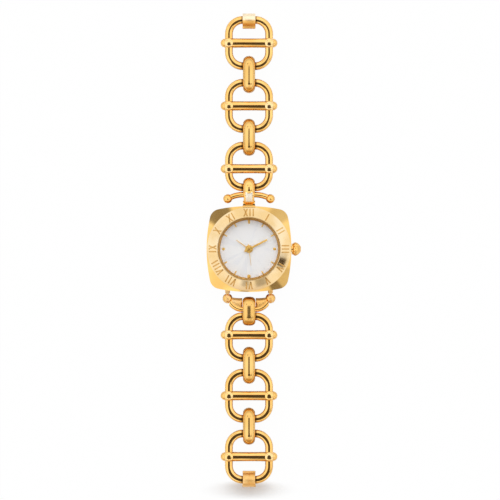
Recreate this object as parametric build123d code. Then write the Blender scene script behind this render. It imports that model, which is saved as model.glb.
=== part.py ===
from build123d import *
import os
from math import cos, radians, sin, sqrt

# Bracelet watch lying flat on its case back, in millimetres.
# The origin is the middle of the case back's outer face, +Z leaves the dial,
# +Y points to twelve o'clock and +X points to the crown.
# The watch head hangs between two chains of rings, bars and loops.

# Case
case_width = 28.2
case_length = 28.56
case_side_radius = 50.0
case_corner_radius = 3.5
case_bottom_height = 0.4
case_top_height = 5.72
case_back_bevel_inset = 1.5
case_back_bevel_rise = 0.8
corner_bottom_height = 2.2
corner_top_height = 3.9
case_bore_radius = 10.95
dial_ledge_radius = 10.3
dial_ledge_top = 5.35

# Case back and its seal
back_radius = 12.0
back_thickness = 0.9
back_fit = 0.04
back_rim_wall = 0.6
back_rim_height = 0.6
back_seal_width = 0.4
back_seal_height = 0.3
back_seal_inset = 0.35

# Bezel, crystal and crystal seal
bezel_side_inset = 0.15
bezel_lip = 0.35
bezel_width = 3.55
bezel_edge_height = 6.05
bezel_crest_width = 0.2
bezel_crest_height = 7.0
crystal_seat_height = 6.0
crystal_seat_width = 0.45
crystal_seal_wall = 0.2
crystal_edge_height = 0.75
crystal_dome = 0.25
bezel_fit = 0.03
seal_fit = 0.01

# Dial and hour markers
dial_hours = 12
hour_step_angle = 30.0
minute_step_angle = 6.0
dial_bottom = 4.45
dial_thickness = 0.4
dial_fit = 0.05
dial_hole_radius = 1.05
marker_rim_gap = 0.5
marker_length = 1.6
marker_width = 0.45
twelve_marker_width = 0.68
marker_height = 0.16
side_marker_radius = 0.48
six_marker_radius = 0.6

# Hands
hand_thickness = 0.14
hour_hand_height = 5.05
minute_hand_height = 5.35
second_hand_height = 5.65
hour_hand_length = 5.1
hour_hand_tail = 1.5
hour_hand_width = 0.62
minute_hand_length = 6.9
minute_hand_tail = 1.9
minute_hand_width = 0.52
second_hand_length = 5.6
second_hand_tail = 1.8
second_hand_width = 0.24
hour_hub_radius = 1.3
minute_hub_radius = 0.95
second_hub_radius = 0.6
hand_tip_share = 0.35
second_hand_angle = 173.0
shown_hour = 10
shown_minute = 10

# Movement
movement_radius = 9.5
movement_ring_fit = 0.05
movement_ring_bottom = 1.7
movement_ring_top = 4.4
plate_bottom = 2.95
plate_top = 3.6
bridge_bottom = 1.6
bridge_top = 1.9
bridge_radius = 1.1
pillar_radius = 0.4
bridge_reach = 4.9
bridge_angles = (75.0, 165.0, 330.0)
arbor_radius = 0.15
pivot_clearance = 0.03
pivot_depth = 0.3
wheel_thickness = 0.2
mesh_gap = 0.05
level_gap = 0.1
seconds_wheel_height = 2.1
seconds_wheel_radius = 2.3
seconds_pinion_radius = 0.55
seconds_arbor_radius = 0.22
third_wheel_radius = 2.3
third_pinion_radius = 0.4
third_wheel_angle = 41.0
centre_pipe_radius = 0.55
pipe_clearance = 0.05
cannon_pinion_radius = 0.75
minute_wheel_radius = 2.25
minute_pinion_radius = 0.6
minute_wheel_angle = 148.0
hour_pipe_wall = 0.35
fifth_wheel_radius = 1.7
fifth_pinion_radius = 0.4
fifth_wheel_angle = 296.0
rotor_pinion_radius = 0.3
rotor_magnet_radius = 0.7
rotor_angle = 321.0
stator_gap = 0.12
stator_rim = 0.8
stator_thickness = 0.3
coil_radius = 0.6
coil_length = 6.0
coil_place = (1.6, -7.5)
coil_height = 2.25
coil_flange_radius = 0.68
coil_flange_thickness = 0.3
battery_radius = 3.4
battery_height = 1.65
battery_bottom = 1.2
battery_place = (-4.7, -3.4)
battery_rim_radius = 2.9
battery_step = 0.25
strap_width = 1.6
strap_thickness = 0.15
strap_overhang = 0.9
strap_angle = 125.0
board_bottom = 1.3
board_thickness = 0.25
board_edge = 0.3
board_cut_share = 0.33
board_gap = 0.25

# Crown, stem and tube
crown_axis_height = 3.1
crown_gap = 0.15
crown_radius = 2.3
crown_length = 3.05
crown_collar_radius = 1.85
crown_collar_length = 0.4
crown_tip_radius = 0.8
crown_belly_share = 0.3
crown_shoulder_share = 0.75
crown_shoulder_radius = 1.65
crown_flutes = 12
crown_flute_radius = 0.34
crown_recess_depth = 1.2
stem_radius = 0.45
stem_inner_end = 4.6
stem_grip = 1.9
tube_radius = 0.95
tube_length = 2.3
tube_stand_out = 0.75
stem_clearance = 0.06
crown_seal_wall = 0.3
crown_seal_width = 0.4
clutch_radius = 0.95
clutch_length = 1.2
clutch_offset = 0.5
lever_thickness = 0.25
lever_length = 3.4
lever_width = 0.9
lever_fork_gap = 0.08
lever_groove_depth = 0.15
lever_groove_width = 0.4
lever_place = 8.1

# Chain links: a ring of round wire soldered to a turned bar
chain_height = 3.5
wire_diameter = 2.6
ring_width = 16.0
ring_length = 18.0
ring_short_half = 7.5
ring_corner_radius = 5.9
rod_diameter = 3.2
rod_waist_diameter = 3.0
boss_diameter = 3.65
bar_span = 18.95
ball_diameter = 3.4
solder_gap = 0.02

# Connector loops between the rings
wire_clearance = 0.1
loop_width = 4.06
loop_strand = 2.0
loop_centres = 5.55
loop_edge_round = 1.55
loop_slot_round = 0.3
lower_slack = 0.65

# Twelve o'clock end: lug ears, hook and bit bar
hook_pivot_reach = 0.72
hook_centres = 5.55
hook_width = 4.0
hook_strand = 1.85
hook_pin_radius = 0.4
hook_tongue_width = 2.3
hook_tongue_radius = 0.95
hook_edge_round = 1.3
ear_radius = 1.1
hinge_side_gap = 0.06
hinge_swing_gap = 0.15
pin_clearance = 0.03
press_clearance = 0.01
bit_diameter = 1.86
bit_gap = 0.2
bit_ball_diameter = 3.2
bit_ball_reach = 7.1
bit_ball_drop = 1.36
bit_straight = 3.6

# Six o'clock end: posts, stirrup and lower loop
post_reach = 2.17
post_radius = 0.8
joint_ball_diameter = 3.3
joint_ball_reach = 7.15
eye_thickness = 1.0
stirrup_pin_radius = 0.45
stirrup_pin_share = 0.375
knuckle_inset = 0.35
bow_diameter = 1.8
bow_drop = 3.65
bow_straight = 2.2
rail_diameter = 0.95
rail_start_drop = 0.1
rail_end_drop = 0.85
rail_sag = 0.18
web_thickness = 0.8
web_drop_share = 0.75
web_gap = 0.25
lower_loop_width = 4.3
lower_loop_rise = 4.2
lower_loop_strand = 1.75
ring_to_bow_gap = 0.1

# Clasp: sleeve with a fold-over flap at one end, catch at the other
clasp_width = 4.33
clasp_radius = 2.15
clasp_lip_length = 0.75
clasp_lip_height = 1.5
flap_hinge_radius = 0.65
flap_pin_radius = 0.3
flap_knuckle_width = 1.9
flap_width = 4.0
flap_thickness = 0.5
flap_length = 4.4
flap_gap = 0.12
flap_tip_height = 0.35
catch_width = 4.6
catch_radius = 2.4
catch_lip_length = 0.5
catch_groove_width = 0.4
catch_groove_depth = 0.3
clasp_edge_round = 0.3

# Cuts run past what they cut by this much
overrun = 1.0

# Places worked out from the sizes
wire_radius = wire_diameter / 2
ring_half_width = (ring_width - wire_diameter) / 2
ring_half_length = (ring_length - wire_diameter) / 2
ring_short_reach = ring_short_half - wire_radius
ring_bend_radius = ring_corner_radius - wire_radius
slot_radius = wire_radius + wire_clearance
loop_radius = slot_radius + loop_strand
case_half_length = case_length / 2
case_half_width = case_width / 2
dial_top = dial_bottom + dial_thickness
bezel_outer_radius = case_half_width - bezel_side_inset
bezel_base_radius = bezel_outer_radius - bezel_lip
crystal_seat_radius = bezel_outer_radius - bezel_width
bezel_crest_radius = crystal_seat_radius + bezel_crest_width
crystal_radius = crystal_seat_radius - crystal_seal_wall
rehaut_radius = crystal_seat_radius - crystal_seat_width

hook_pivot_y = case_half_length + hook_pivot_reach
hook_wire_y = hook_pivot_y + hook_centres
bit_y = hook_wire_y - wire_radius - bit_gap - bit_diameter / 2
upper_pitch = loop_centres + 2 * ring_half_length
lower_pitch = upper_pitch - lower_slack
upper_bar_y = [hook_wire_y + ring_short_reach + upper_pitch * n for n in range(3)]

stirrup_y = -(case_half_length + post_reach)
bow_y = stirrup_y - bow_drop
lower_wire_y = bow_y - bow_diameter / 2 - wire_radius - ring_to_bow_gap
lower_bar_y = [lower_wire_y - ring_short_reach - lower_pitch * n for n in range(3)]

clasp_y = upper_bar_y[2] + ring_half_length
catch_y = lower_bar_y[2] - ring_half_length


def rod_x(radius, x_start, x_end, y, z):
    """Cylinder along X from x_start to x_end through (y, z)."""
    middle = (x_start + x_end) / 2
    return Pos(middle, y, z) * Rot(0, 90, 0) * Cylinder(radius, x_end - x_start)


def rod_y(radius, y_start, y_end, x, z):
    """Cylinder along Y from y_start to y_end through (x, z)."""
    middle = (y_start + y_end) / 2
    return Pos(x, middle, z) * Rot(90, 0, 0) * Cylinder(radius, abs(y_end - y_start))


def disc(radius, z_bottom, z_top, place=(0, 0)):
    """Upright cylinder between two heights."""
    column = Cylinder(radius, z_top - z_bottom, align=(Align.CENTER, Align.CENTER, Align.MIN))
    return Pos(place[0], place[1], z_bottom) * column


def annulus(inner_radius, outer_radius, z_bottom, z_top):
    """Flat ring between two heights."""
    return disc(outer_radius, z_bottom, z_top) - disc(inner_radius, z_bottom - overrun, z_top + overrun)


def block(x_start, x_end, y_start, y_end, z_start, z_end):
    """Box between two corners."""
    place = Pos((x_start + x_end) / 2, (y_start + y_end) / 2, (z_start + z_end) / 2)
    return place * Box(x_end - x_start, y_end - y_start, z_end - z_start)


def turned(points):
    """Revolve a closed outline of (radius, height) points about Z."""
    outline = Polyline(*[(r, 0, z) for r, z in points], close=True)
    return revolve(make_face(outline), Axis.Z)


def polar(radius, turn):
    """Point at a clockwise turn from twelve o'clock."""
    return (radius * sin(radians(turn)), radius * cos(radians(turn)))


def gear_place(distance, turn, origin=(0, 0)):
    """Wheel centre at a distance and anticlockwise turn from another centre."""
    return (origin[0] + distance * cos(radians(turn)), origin[1] + distance * sin(radians(turn)))


def cushion_outline():
    """Square with four bulging sides and rounded corners."""
    side = Circle(case_side_radius)
    across = case_side_radius - case_half_width
    along = case_side_radius - case_half_length
    outline = Pos(-across, 0) * side & Pos(across, 0) * side
    outline = outline & Pos(0, -along) * side & Pos(0, along) * side
    return fillet(outline.vertices(), case_corner_radius)


def lug_ears():
    """Two ears at twelve that carry the hook's pin."""
    side = Pos(0, hook_pivot_y, chain_height) * Rot(0, 90, 0) * Cylinder(ear_radius, hook_width)
    root = block(-hook_width / 2, hook_width / 2, case_half_length - hook_pivot_reach, hook_pivot_y,
                 chain_height - ear_radius, chain_height + ear_radius)
    return side + root


def case_middle():
    """Cushion body: sloped corners, open bore, lug ears, posts and crown hole."""
    body = Pos(0, 0, case_bottom_height) * extrude(cushion_outline(), case_top_height - case_bottom_height)
    corner_radius = sqrt(case_half_width**2 + case_half_length**2)
    back_edge = case_half_width - case_back_bevel_inset
    facets = turned([
        (0, case_bottom_height),
        (back_edge, case_bottom_height),
        (case_half_width, case_bottom_height + case_back_bevel_rise),
        (corner_radius, corner_bottom_height),
        (corner_radius, corner_top_height),
        (bezel_outer_radius, case_top_height),
        (0, case_top_height),
    ])
    body = body & facets
    body += lug_ears()
    for side in (-1, 1):
        body -= post_stem(side, press_clearance)
    body -= disc(back_radius + back_fit, case_bottom_height - overrun, back_thickness)
    body -= disc(case_bore_radius, case_bottom_height, dial_top)
    body -= disc(dial_ledge_radius, dial_top - overrun, dial_ledge_top + overrun)
    body -= disc(bezel_base_radius + bezel_fit, dial_ledge_top, case_top_height + overrun)
    body -= seal_groove()
    swing = hook_tongue_radius + 2 * hinge_swing_gap
    half_gap = hook_tongue_width / 2 + hinge_side_gap
    body -= rod_x(swing, -half_gap, half_gap, hook_pivot_y, chain_height)
    half_width = hook_width / 2 + overrun
    body -= rod_x(hook_pin_radius + press_clearance, -half_width, half_width, hook_pivot_y, chain_height)
    body -= rod_x(tube_radius, case_bore_radius - overrun, case_half_width + overrun, 0, crown_axis_height)
    return body


def seal_groove():
    """Groove above the case back for its seal."""
    outer = back_radius - back_seal_inset
    return annulus(outer - back_seal_width, outer, back_thickness, back_thickness + back_seal_height)


def ball_slice(side, inner, outer):
    """Slice of a joint ball between two distances from its middle, outwards positive."""
    radius = joint_ball_diameter / 2
    low, high = sorted((side * max(-radius, inner), side * min(radius, outer)))
    band = Pos((low + high) / 2, radius / 2) * Rectangle(high - low, radius)
    return Pos(side * joint_ball_reach, 0, 0) * revolve(Circle(radius) & band, Axis.X)


def post_stem(side, growth=0.0):
    """Round root of a post, sunk in the case wall and ending short of the joint ball."""
    root_end = post_reach - case_half_length
    neck_end = stirrup_y + joint_ball_diameter / 2 + hinge_side_gap
    x = side * joint_ball_reach
    return rod_y(post_radius + growth, root_end, neck_end, x, chain_height)


def case_posts():
    """Two posts at six, each ending in an eye: the middle slice of a joint ball with its pin hole."""
    posts = []
    ball_radius = joint_ball_diameter / 2
    half_eye = eye_thickness / 2
    for side in (-1, 1):
        x = side * joint_ball_reach
        eye = Pos(0, stirrup_y, chain_height) * ball_slice(side, -half_eye, half_eye)
        tongue = block(x - half_eye, x + half_eye, stirrup_y + post_radius, stirrup_y + ball_radius + post_radius,
                       chain_height - post_radius, chain_height + post_radius)
        bore = rod_x(stirrup_pin_radius + pin_clearance, x - eye_thickness, x + eye_thickness,
                     stirrup_y, chain_height)
        posts.append((post_stem(side) + eye + tongue - bore).solid())
    return Compound(children=posts)


def case_back():
    """Flat back with a snap rim that enters the bore."""
    lid = disc(back_radius, 0, back_thickness)
    rim_outer = case_bore_radius - back_fit
    return lid + annulus(rim_outer - back_rim_wall, rim_outer, back_thickness, back_thickness + back_rim_height)


def back_gasket():
    """Flat seal in the groove above the case back."""
    outer = back_radius - back_seal_inset - seal_fit
    inner = outer - back_seal_width + 2 * seal_fit
    return annulus(inner, outer, back_thickness + seal_fit, back_thickness + back_seal_height - seal_fit)


def bezel_ring():
    """Sloped ring with a base in the case, a crystal seat and the rehaut below it."""
    return turned([
        (rehaut_radius, dial_ledge_top),
        (bezel_base_radius, dial_ledge_top),
        (bezel_base_radius, case_top_height + bezel_fit),
        (bezel_outer_radius, case_top_height + bezel_fit),
        (bezel_outer_radius, bezel_edge_height),
        (bezel_crest_radius, bezel_crest_height),
        (crystal_seat_radius, bezel_crest_height - bezel_crest_width),
        (crystal_seat_radius, crystal_seat_height),
        (rehaut_radius, crystal_seat_height),
    ])


def crystal():
    """Slightly domed glass."""
    edge_top = crystal_seat_height + crystal_edge_height
    dome_radius = (crystal_radius**2 + crystal_dome**2) / (2 * crystal_dome)
    top = edge_top + crystal_dome
    dome = Pos(0, 0, top - dome_radius) * Rot(0, 90, 0) * Sphere(dome_radius)
    return disc(crystal_radius, crystal_seat_height, top + overrun) & dome


def crystal_gasket():
    """Seal between the glass and the bezel."""
    return annulus(crystal_radius + seal_fit, crystal_seat_radius - seal_fit,
                   crystal_seat_height, crystal_seat_height + crystal_edge_height)


def dial():
    """Dial disc with the hole for the hand pipes."""
    radius = case_bore_radius - dial_fit
    return disc(radius, dial_bottom, dial_top) - disc(dial_hole_radius, dial_bottom - overrun, dial_top + overrun)


def hour_markers():
    """Applied batons, with round ones at three, six and nine."""
    markers = []
    outer = dial_ledge_radius - marker_rim_gap
    quarter = dial_hours // 4
    round_markers = {quarter: side_marker_radius, 2 * quarter: six_marker_radius}
    round_markers[dial_hours - quarter] = side_marker_radius
    for hour in range(dial_hours):
        turn = hour * hour_step_angle
        if hour in round_markers:
            radius = round_markers[hour]
            marker = disc(radius, dial_top, dial_top + marker_height, polar(outer - radius, turn))
        else:
            x, y = polar(outer - marker_length / 2, turn)
            width = twelve_marker_width if hour == 0 else marker_width
            marker = Box(width, marker_length, marker_height, align=(Align.CENTER, Align.CENTER, Align.MIN))
            marker = Pos(x, y, dial_top) * Rot(0, 0, -turn) * marker
        markers.append(marker)
    return Compound(children=[m.solid() for m in markers])


def hand(length, tail, width, hub_radius, bore_radius, height, turn):
    """Flat hand, widest at the hub and tapering to its tip, turned clockwise."""
    tip = width * hand_tip_share / 2
    half = width / 2
    outline = Polyline((-half, -tail), (half, -tail), (half, 0), (tip, length), (-tip, length),
                       (-half, 0), close=True)
    blade = make_face(outline) + Circle(hub_radius)
    blade = blade - Circle(bore_radius)
    return Pos(0, 0, height) * Rot(0, 0, -turn) * extrude(blade, hand_thickness)


minute_hand_angle = (second_hand_angle / 360 + shown_minute) * minute_step_angle
hour_hand_angle = shown_hour * hour_step_angle + minute_hand_angle / dial_hours
hour_pipe_bore = centre_pipe_radius + pipe_clearance
hour_pipe_radius = hour_pipe_bore + hour_pipe_wall
centre_bore = seconds_arbor_radius + pipe_clearance


def hour_hand():
    """Hour hand on the hour pipe."""
    return hand(hour_hand_length, hour_hand_tail, hour_hand_width, hour_hub_radius,
                hour_pipe_radius, hour_hand_height, hour_hand_angle)


def minute_hand():
    """Minute hand on the centre pipe."""
    return hand(minute_hand_length, minute_hand_tail, minute_hand_width, minute_hub_radius,
                centre_pipe_radius, minute_hand_height, minute_hand_angle)


def second_hand():
    """Second hand on the seconds arbor."""
    return hand(second_hand_length, second_hand_tail, second_hand_width, second_hub_radius,
                seconds_arbor_radius, second_hand_height, second_hand_angle)


# Wheel heights and centres follow from the plate, the gaps and the wheel radii
wheel_top = seconds_wheel_height + wheel_thickness
middle_level = wheel_top + level_gap
middle_top = middle_level + wheel_thickness
centre_level = middle_top + level_gap
centre_top = centre_level + wheel_thickness
motion_level = plate_top + level_gap
motion_top = motion_level + wheel_thickness
hour_level = motion_top + level_gap
hour_top = hour_level + wheel_thickness
third_place = gear_place(third_wheel_radius + seconds_pinion_radius + mesh_gap, third_wheel_angle)
centre_wheel_radius = third_wheel_radius + seconds_pinion_radius - third_pinion_radius
minute_place = gear_place(minute_wheel_radius + cannon_pinion_radius + mesh_gap, minute_wheel_angle)
hour_wheel_radius = minute_wheel_radius + cannon_pinion_radius - minute_pinion_radius
fifth_place = gear_place(seconds_wheel_radius + fifth_pinion_radius + mesh_gap, fifth_wheel_angle)
rotor_place = gear_place(fifth_wheel_radius + rotor_pinion_radius + mesh_gap, rotor_angle, fifth_place)
arbor_bottom = bridge_top - pivot_depth
arbor_top = plate_bottom + pivot_depth


def wheel(place, radius, bottom, pinion_radius, pinion_bottom, pinion_top):
    """Wheel and pinion on one arbor that runs between bridge and plate."""
    train = disc(radius, bottom, bottom + wheel_thickness, place)
    train += disc(pinion_radius, pinion_bottom, pinion_top, place)
    return train + disc(arbor_radius, arbor_bottom, arbor_top, place)


def seconds_wheel():
    """Centre seconds wheel, its pinion and the long arbor for the second hand."""
    train = disc(seconds_wheel_radius, seconds_wheel_height, wheel_top)
    train += disc(seconds_pinion_radius, wheel_top, middle_top)
    return train + disc(seconds_arbor_radius, arbor_bottom, second_hand_height + 2 * hand_thickness)


def third_wheel():
    """Third wheel between the seconds pinion and the centre wheel."""
    return wheel(third_place, third_wheel_radius, middle_level, third_pinion_radius,
                 middle_top, centre_top)


def fifth_wheel():
    """Fifth wheel between the rotor and the seconds wheel."""
    return wheel(fifth_place, fifth_wheel_radius, middle_level, fifth_pinion_radius,
                 seconds_wheel_height, middle_level)


def rotor():
    """Stepping motor rotor: magnet and pinion."""
    magnet_bottom = bridge_top + level_gap
    train = disc(rotor_magnet_radius, magnet_bottom, wheel_top, rotor_place)
    train += disc(rotor_pinion_radius, wheel_top, middle_top, rotor_place)
    return train + disc(arbor_radius, arbor_bottom, arbor_top, rotor_place)


def centre_wheel():
    """Centre wheel with its pipe and cannon pinion, turning once an hour."""
    train = disc(centre_wheel_radius, centre_level, centre_top)
    train += disc(centre_pipe_radius, centre_level, minute_hand_height + hand_thickness)
    train += disc(cannon_pinion_radius, motion_level, motion_top)
    return train - disc(centre_bore, centre_level - overrun, minute_hand_height + overrun)


def minute_wheel():
    """Minute wheel and pinion on a stud in the plate."""
    train = disc(minute_wheel_radius, motion_level, motion_top, minute_place)
    train += disc(minute_pinion_radius, motion_top, hour_top, minute_place)
    return train + disc(arbor_radius, plate_top - pivot_depth, motion_level, minute_place)


def hour_wheel():
    """Hour wheel with the pipe for the hour hand."""
    train = disc(hour_wheel_radius, hour_level, hour_top)
    train += disc(hour_pipe_radius, hour_level, hour_hand_height + hand_thickness)
    return train - disc(hour_pipe_bore, hour_level - overrun, hour_hand_height + overrun)


def stem_channel(z_bottom, z_top):
    """Way for the stem and clutch through the plate or the ring."""
    half = clutch_radius + level_gap
    return block(stem_inner_end - level_gap, case_bore_radius, -half, half, z_bottom, z_top)


def main_plate():
    """Main plate with pivot holes, pipe hole and stem channel."""
    plate = disc(movement_radius, plate_bottom, plate_top)
    plate -= disc(centre_pipe_radius + pivot_clearance, plate_bottom - overrun, plate_top + overrun)
    hole = arbor_radius + pivot_clearance
    for place in (third_place, fifth_place, rotor_place):
        plate -= disc(hole, plate_bottom - overrun, arbor_top + pivot_clearance, place)
    plate -= disc(hole, plate_top - pivot_depth - pivot_clearance, plate_top + overrun, minute_place)
    return plate - stem_channel(plate_bottom - overrun, plate_top + overrun)


def train_bridge():
    """Three-armed bridge on pillars that carries the lower pivots."""
    arms = [(bridge_reach * cos(radians(t)), bridge_reach * sin(radians(t))) for t in bridge_angles]
    face = Circle(bridge_radius)
    for x, y in arms:
        face += Pos(x, y) * Circle(bridge_radius)
        face += Pos(x / 2, y / 2) * arm_bar(x, y)
    for place in (third_place, fifth_place, rotor_place):
        face += Pos(*place) * Circle(bridge_radius)
        face += Pos(place[0] / 2, place[1] / 2) * arm_bar(*place)
    bridge = Pos(0, 0, bridge_bottom) * extrude(face, bridge_top - bridge_bottom)
    for x, y in arms:
        bridge += disc(pillar_radius, bridge_bottom, plate_bottom, (x, y))
    hole = arbor_radius + pivot_clearance
    for place in (third_place, fifth_place, rotor_place):
        bridge -= disc(hole, arbor_bottom - pivot_clearance, bridge_top + overrun, place)
    hole = seconds_arbor_radius + pivot_clearance
    return bridge - disc(hole, arbor_bottom - pivot_clearance, bridge_top + overrun)


def arm_bar(x, y):
    """Flat bar as long as the way from the centre to a point, turned to face it."""
    length = sqrt(x * x + y * y)
    turn = Vector(x, y, 0).get_signed_angle(Vector(1, 0, 0), Vector(0, 0, -1))
    return Rot(0, 0, turn) * Rectangle(length, bridge_radius)


def movement_ring():
    """Spacer between the movement and the case bore."""
    outer = case_bore_radius - movement_ring_fit
    ring = annulus(movement_radius + movement_ring_fit, outer, movement_ring_bottom, movement_ring_top)
    return ring - stem_channel(movement_ring_bottom - overrun, movement_ring_top + overrun)


def stator():
    """Flat stator around the rotor, running to the coil."""
    bottom = bridge_top + level_gap
    inner = rotor_magnet_radius + stator_gap
    x, y = rotor_place
    reach = coil_place[1] + coil_radius + stator_gap
    plate = disc(inner + stator_rim, bottom, bottom + stator_thickness, rotor_place)
    plate += block(x - stator_rim, x + stator_rim, reach, y, bottom, bottom + stator_thickness)
    return plate - disc(inner, bottom - overrun, bottom + stator_thickness + overrun, rotor_place)


def coil():
    """Wound bobbin with two end flanges."""
    x, y = coil_place
    half = coil_length / 2
    winding = rod_x(coil_radius, x - half, x + half, y, coil_height)
    for end in (x - half, x + half - coil_flange_thickness):
        winding += rod_x(coil_flange_radius, end, end + coil_flange_thickness, y, coil_height)
    return winding


def battery():
    """Button cell with its stepped rim."""
    top = battery_bottom + battery_height
    cell = disc(battery_radius, battery_bottom, top - battery_step, battery_place)
    return cell + disc(battery_rim_radius, top - battery_step, top, battery_place)


def battery_strap():
    """Spring strap that holds the cell, running out to the spacer."""
    x, y = battery_place
    reach = battery_radius + strap_overhang
    strap = Box(2 * reach, strap_width, strap_thickness, align=(Align.CENTER, Align.CENTER, Align.MAX))
    return Pos(x, y, battery_bottom) * Rot(0, 0, strap_angle) * strap


def circuit_board():
    """Board over the free half of the movement."""
    board = disc(movement_radius - board_edge, board_bottom, board_bottom + board_thickness)
    board -= disc(battery_radius + board_gap, board_bottom - overrun, bridge_bottom, battery_place)
    half = movement_radius
    return board - block(-half, half, -half, -half * board_cut_share, board_bottom - overrun, bridge_bottom)


def crown_profile():
    """Onion outline of the crown along its axis, from the base to the tip."""
    base = case_half_width + crown_gap
    collar = base + crown_collar_length
    rest = crown_length - crown_collar_length
    tip = base + crown_length
    return base, collar, collar + rest * crown_belly_share, collar + rest * crown_shoulder_share, tip


def crown():
    """Fluted onion crown with a recess over the tube and a bore for the stem."""
    base, collar, belly, shoulder, tip = crown_profile()
    outline = Polyline((0, base), (crown_collar_radius, base), (crown_collar_radius, collar))
    outline += ThreePointArc((crown_collar_radius, collar), (crown_radius, belly),
                             (crown_shoulder_radius, shoulder))
    outline += Polyline((crown_shoulder_radius, shoulder), (crown_tip_radius, tip), (0, tip), (0, base))
    knob = revolve(make_face(outline), Axis.Y)
    for turn in range(crown_flutes):
        groove = Pos(crown_radius + crown_flute_radius / 2, (belly + tip) / 2, 0)
        groove = groove * Rot(90, 0, 0) * Cylinder(crown_flute_radius, tip - collar)
        knob -= Rot(0, turn * 360 / crown_flutes, 0) * groove
    recess = tube_radius + crown_seal_wall + seal_fit
    knob -= Pos(0, base, 0) * Rot(90, 0, 0) * Cylinder(recess, 2 * crown_recess_depth)
    stem_end = base + stem_grip
    knob -= Pos(0, (base + stem_end) / 2, 0) * Rot(90, 0, 0) * Cylinder(stem_radius, stem_end - base)
    return Pos(0, 0, crown_axis_height) * Rot(0, 0, -90) * knob


def crown_stem():
    """Stem from the keyless works to the crown, with the lever's groove."""
    end = case_half_width + crown_gap + stem_grip
    rod = rod_x(stem_radius, stem_inner_end, end, 0, crown_axis_height)
    ring = rod_x(stem_radius + overrun, lever_place, lever_place + lever_groove_width, 0, crown_axis_height)
    core = rod_x(stem_radius - lever_groove_depth, lever_place, lever_place + lever_groove_width,
                 0, crown_axis_height)
    return rod - (ring - core)


def crown_tube():
    """Tube pressed into the case for the stem."""
    end = case_half_width + tube_stand_out
    tube = rod_x(tube_radius, end - tube_length, end, 0, crown_axis_height)
    bore = stem_radius + stem_clearance
    return tube - rod_x(bore, end - tube_length - overrun, end + overrun, 0, crown_axis_height)


def crown_gasket():
    """Seal ring in the crown's recess, running on the tube."""
    start = case_half_width + crown_gap + level_gap
    ring = rod_x(tube_radius + crown_seal_wall, start, start + crown_seal_width, 0, crown_axis_height)
    bore = tube_radius + seal_fit
    return ring - rod_x(bore, start - overrun, start + overrun, 0, crown_axis_height)


def clutch_wheel():
    """Clutch on the stem's inner end."""
    start = stem_inner_end + clutch_offset
    body = rod_x(clutch_radius, start, start + clutch_length, 0, crown_axis_height)
    return body - rod_x(stem_radius, start - overrun, start + clutch_length + overrun, 0, crown_axis_height)


def setting_lever():
    """Lever whose fork sits in the stem's groove."""
    inset = lever_fork_gap / 2
    start = lever_place + inset
    end = lever_place + lever_groove_width - inset
    groove_radius = stem_radius - lever_groove_depth + lever_fork_gap / 2
    top = crown_axis_height + lever_width / 2
    bottom = crown_axis_height - lever_width / 2
    half = clutch_radius
    plate = block(start, end, -half, half, bottom, top)
    return plate - rod_x(groove_radius, start - overrun, end + overrun, 0, crown_axis_height) - block(
        start - overrun, end + overrun, -groove_radius, groove_radius, crown_axis_height, top + overrun)


def ring_path(upper, lower):
    """Centreline of a ring about its bar, with its own reach above and below."""
    points = [(ring_half_width, upper), (-ring_half_width, upper),
              (-ring_half_width, -lower), (ring_half_width, -lower)]
    return FilletPolyline(*points, radius=ring_bend_radius, close=True)


def link_ring(bar_y, upper, lower):
    """Ring of round wire, cut where it is soldered to the bar."""
    path = Pos(0, bar_y, chain_height) * ring_path(upper, lower)
    start = path.location_at(0)
    wire = sweep(Plane(start) * Circle(wire_radius), path=path)
    return wire - link_bar(bar_y, solder_gap)


def link_bar(bar_y, growth=0.0):
    """Turned bar: waisted rod, two bosses and two end balls, grown for cuts."""
    boss = boss_diameter / 2 + growth
    ball = ball_diameter / 2 + growth
    rod_end = rod_diameter / 2 + growth
    waist = rod_waist_diameter / 2 + growth
    ball_x = (bar_span - ball_diameter) / 2
    outline = ThreePointArc((-ring_half_width, rod_end), (0, waist), (ring_half_width, rod_end))
    outline += Polyline((ring_half_width, rod_end), (ring_half_width, 0), (-ring_half_width, 0),
                        (-ring_half_width, rod_end))
    bar = revolve(make_face(outline), Axis.X)
    for side in (-1, 1):
        bar += Pos(side * ring_half_width, 0, 0) * Sphere(boss)
        bar += Pos(side * ball_x, 0, 0) * Sphere(ball)
    return Pos(0, bar_y, chain_height) * bar


def side_slot(y_start, y_end, radius_start, radius_end, width):
    """Solid of a rounded outline in the YZ plane between two end circles, extruded across X."""
    half_turn = Rot(0, 90, 0)
    ends = Pos(0, y_start) * Circle(radius_start) + Pos(0, y_end) * Circle(radius_end)
    outline = make_hull(ends.edges())
    return Pos(0, 0, chain_height) * half_turn * extrude(outline, width / 2, both=True)


def rounded_loop(y_start, y_end, radius_start, radius_end, width, edge_round):
    """Outer body of a loop with its two long edges rounded over."""
    body = side_slot(y_start, y_end, radius_start, radius_end, width)
    sides = body.faces().filter_by(Axis.X)
    return fillet(sides.edges(), edge_round)


def slotted(body, y_start, y_end, radius_start, radius_end, width):
    """Loop body with its slot, the slot's mouths rounded."""
    return body - side_slot(y_start, y_end, radius_start, radius_end, width + 2 * overrun)


def connector_loop(lower_y):
    """Loop that ties two rings, from the lower slot centre upwards."""
    upper_y = lower_y + loop_centres
    body = rounded_loop(lower_y, upper_y, loop_radius, loop_radius, loop_width, loop_edge_round)
    return slotted(body, lower_y, upper_y, slot_radius, slot_radius, loop_width)


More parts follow.
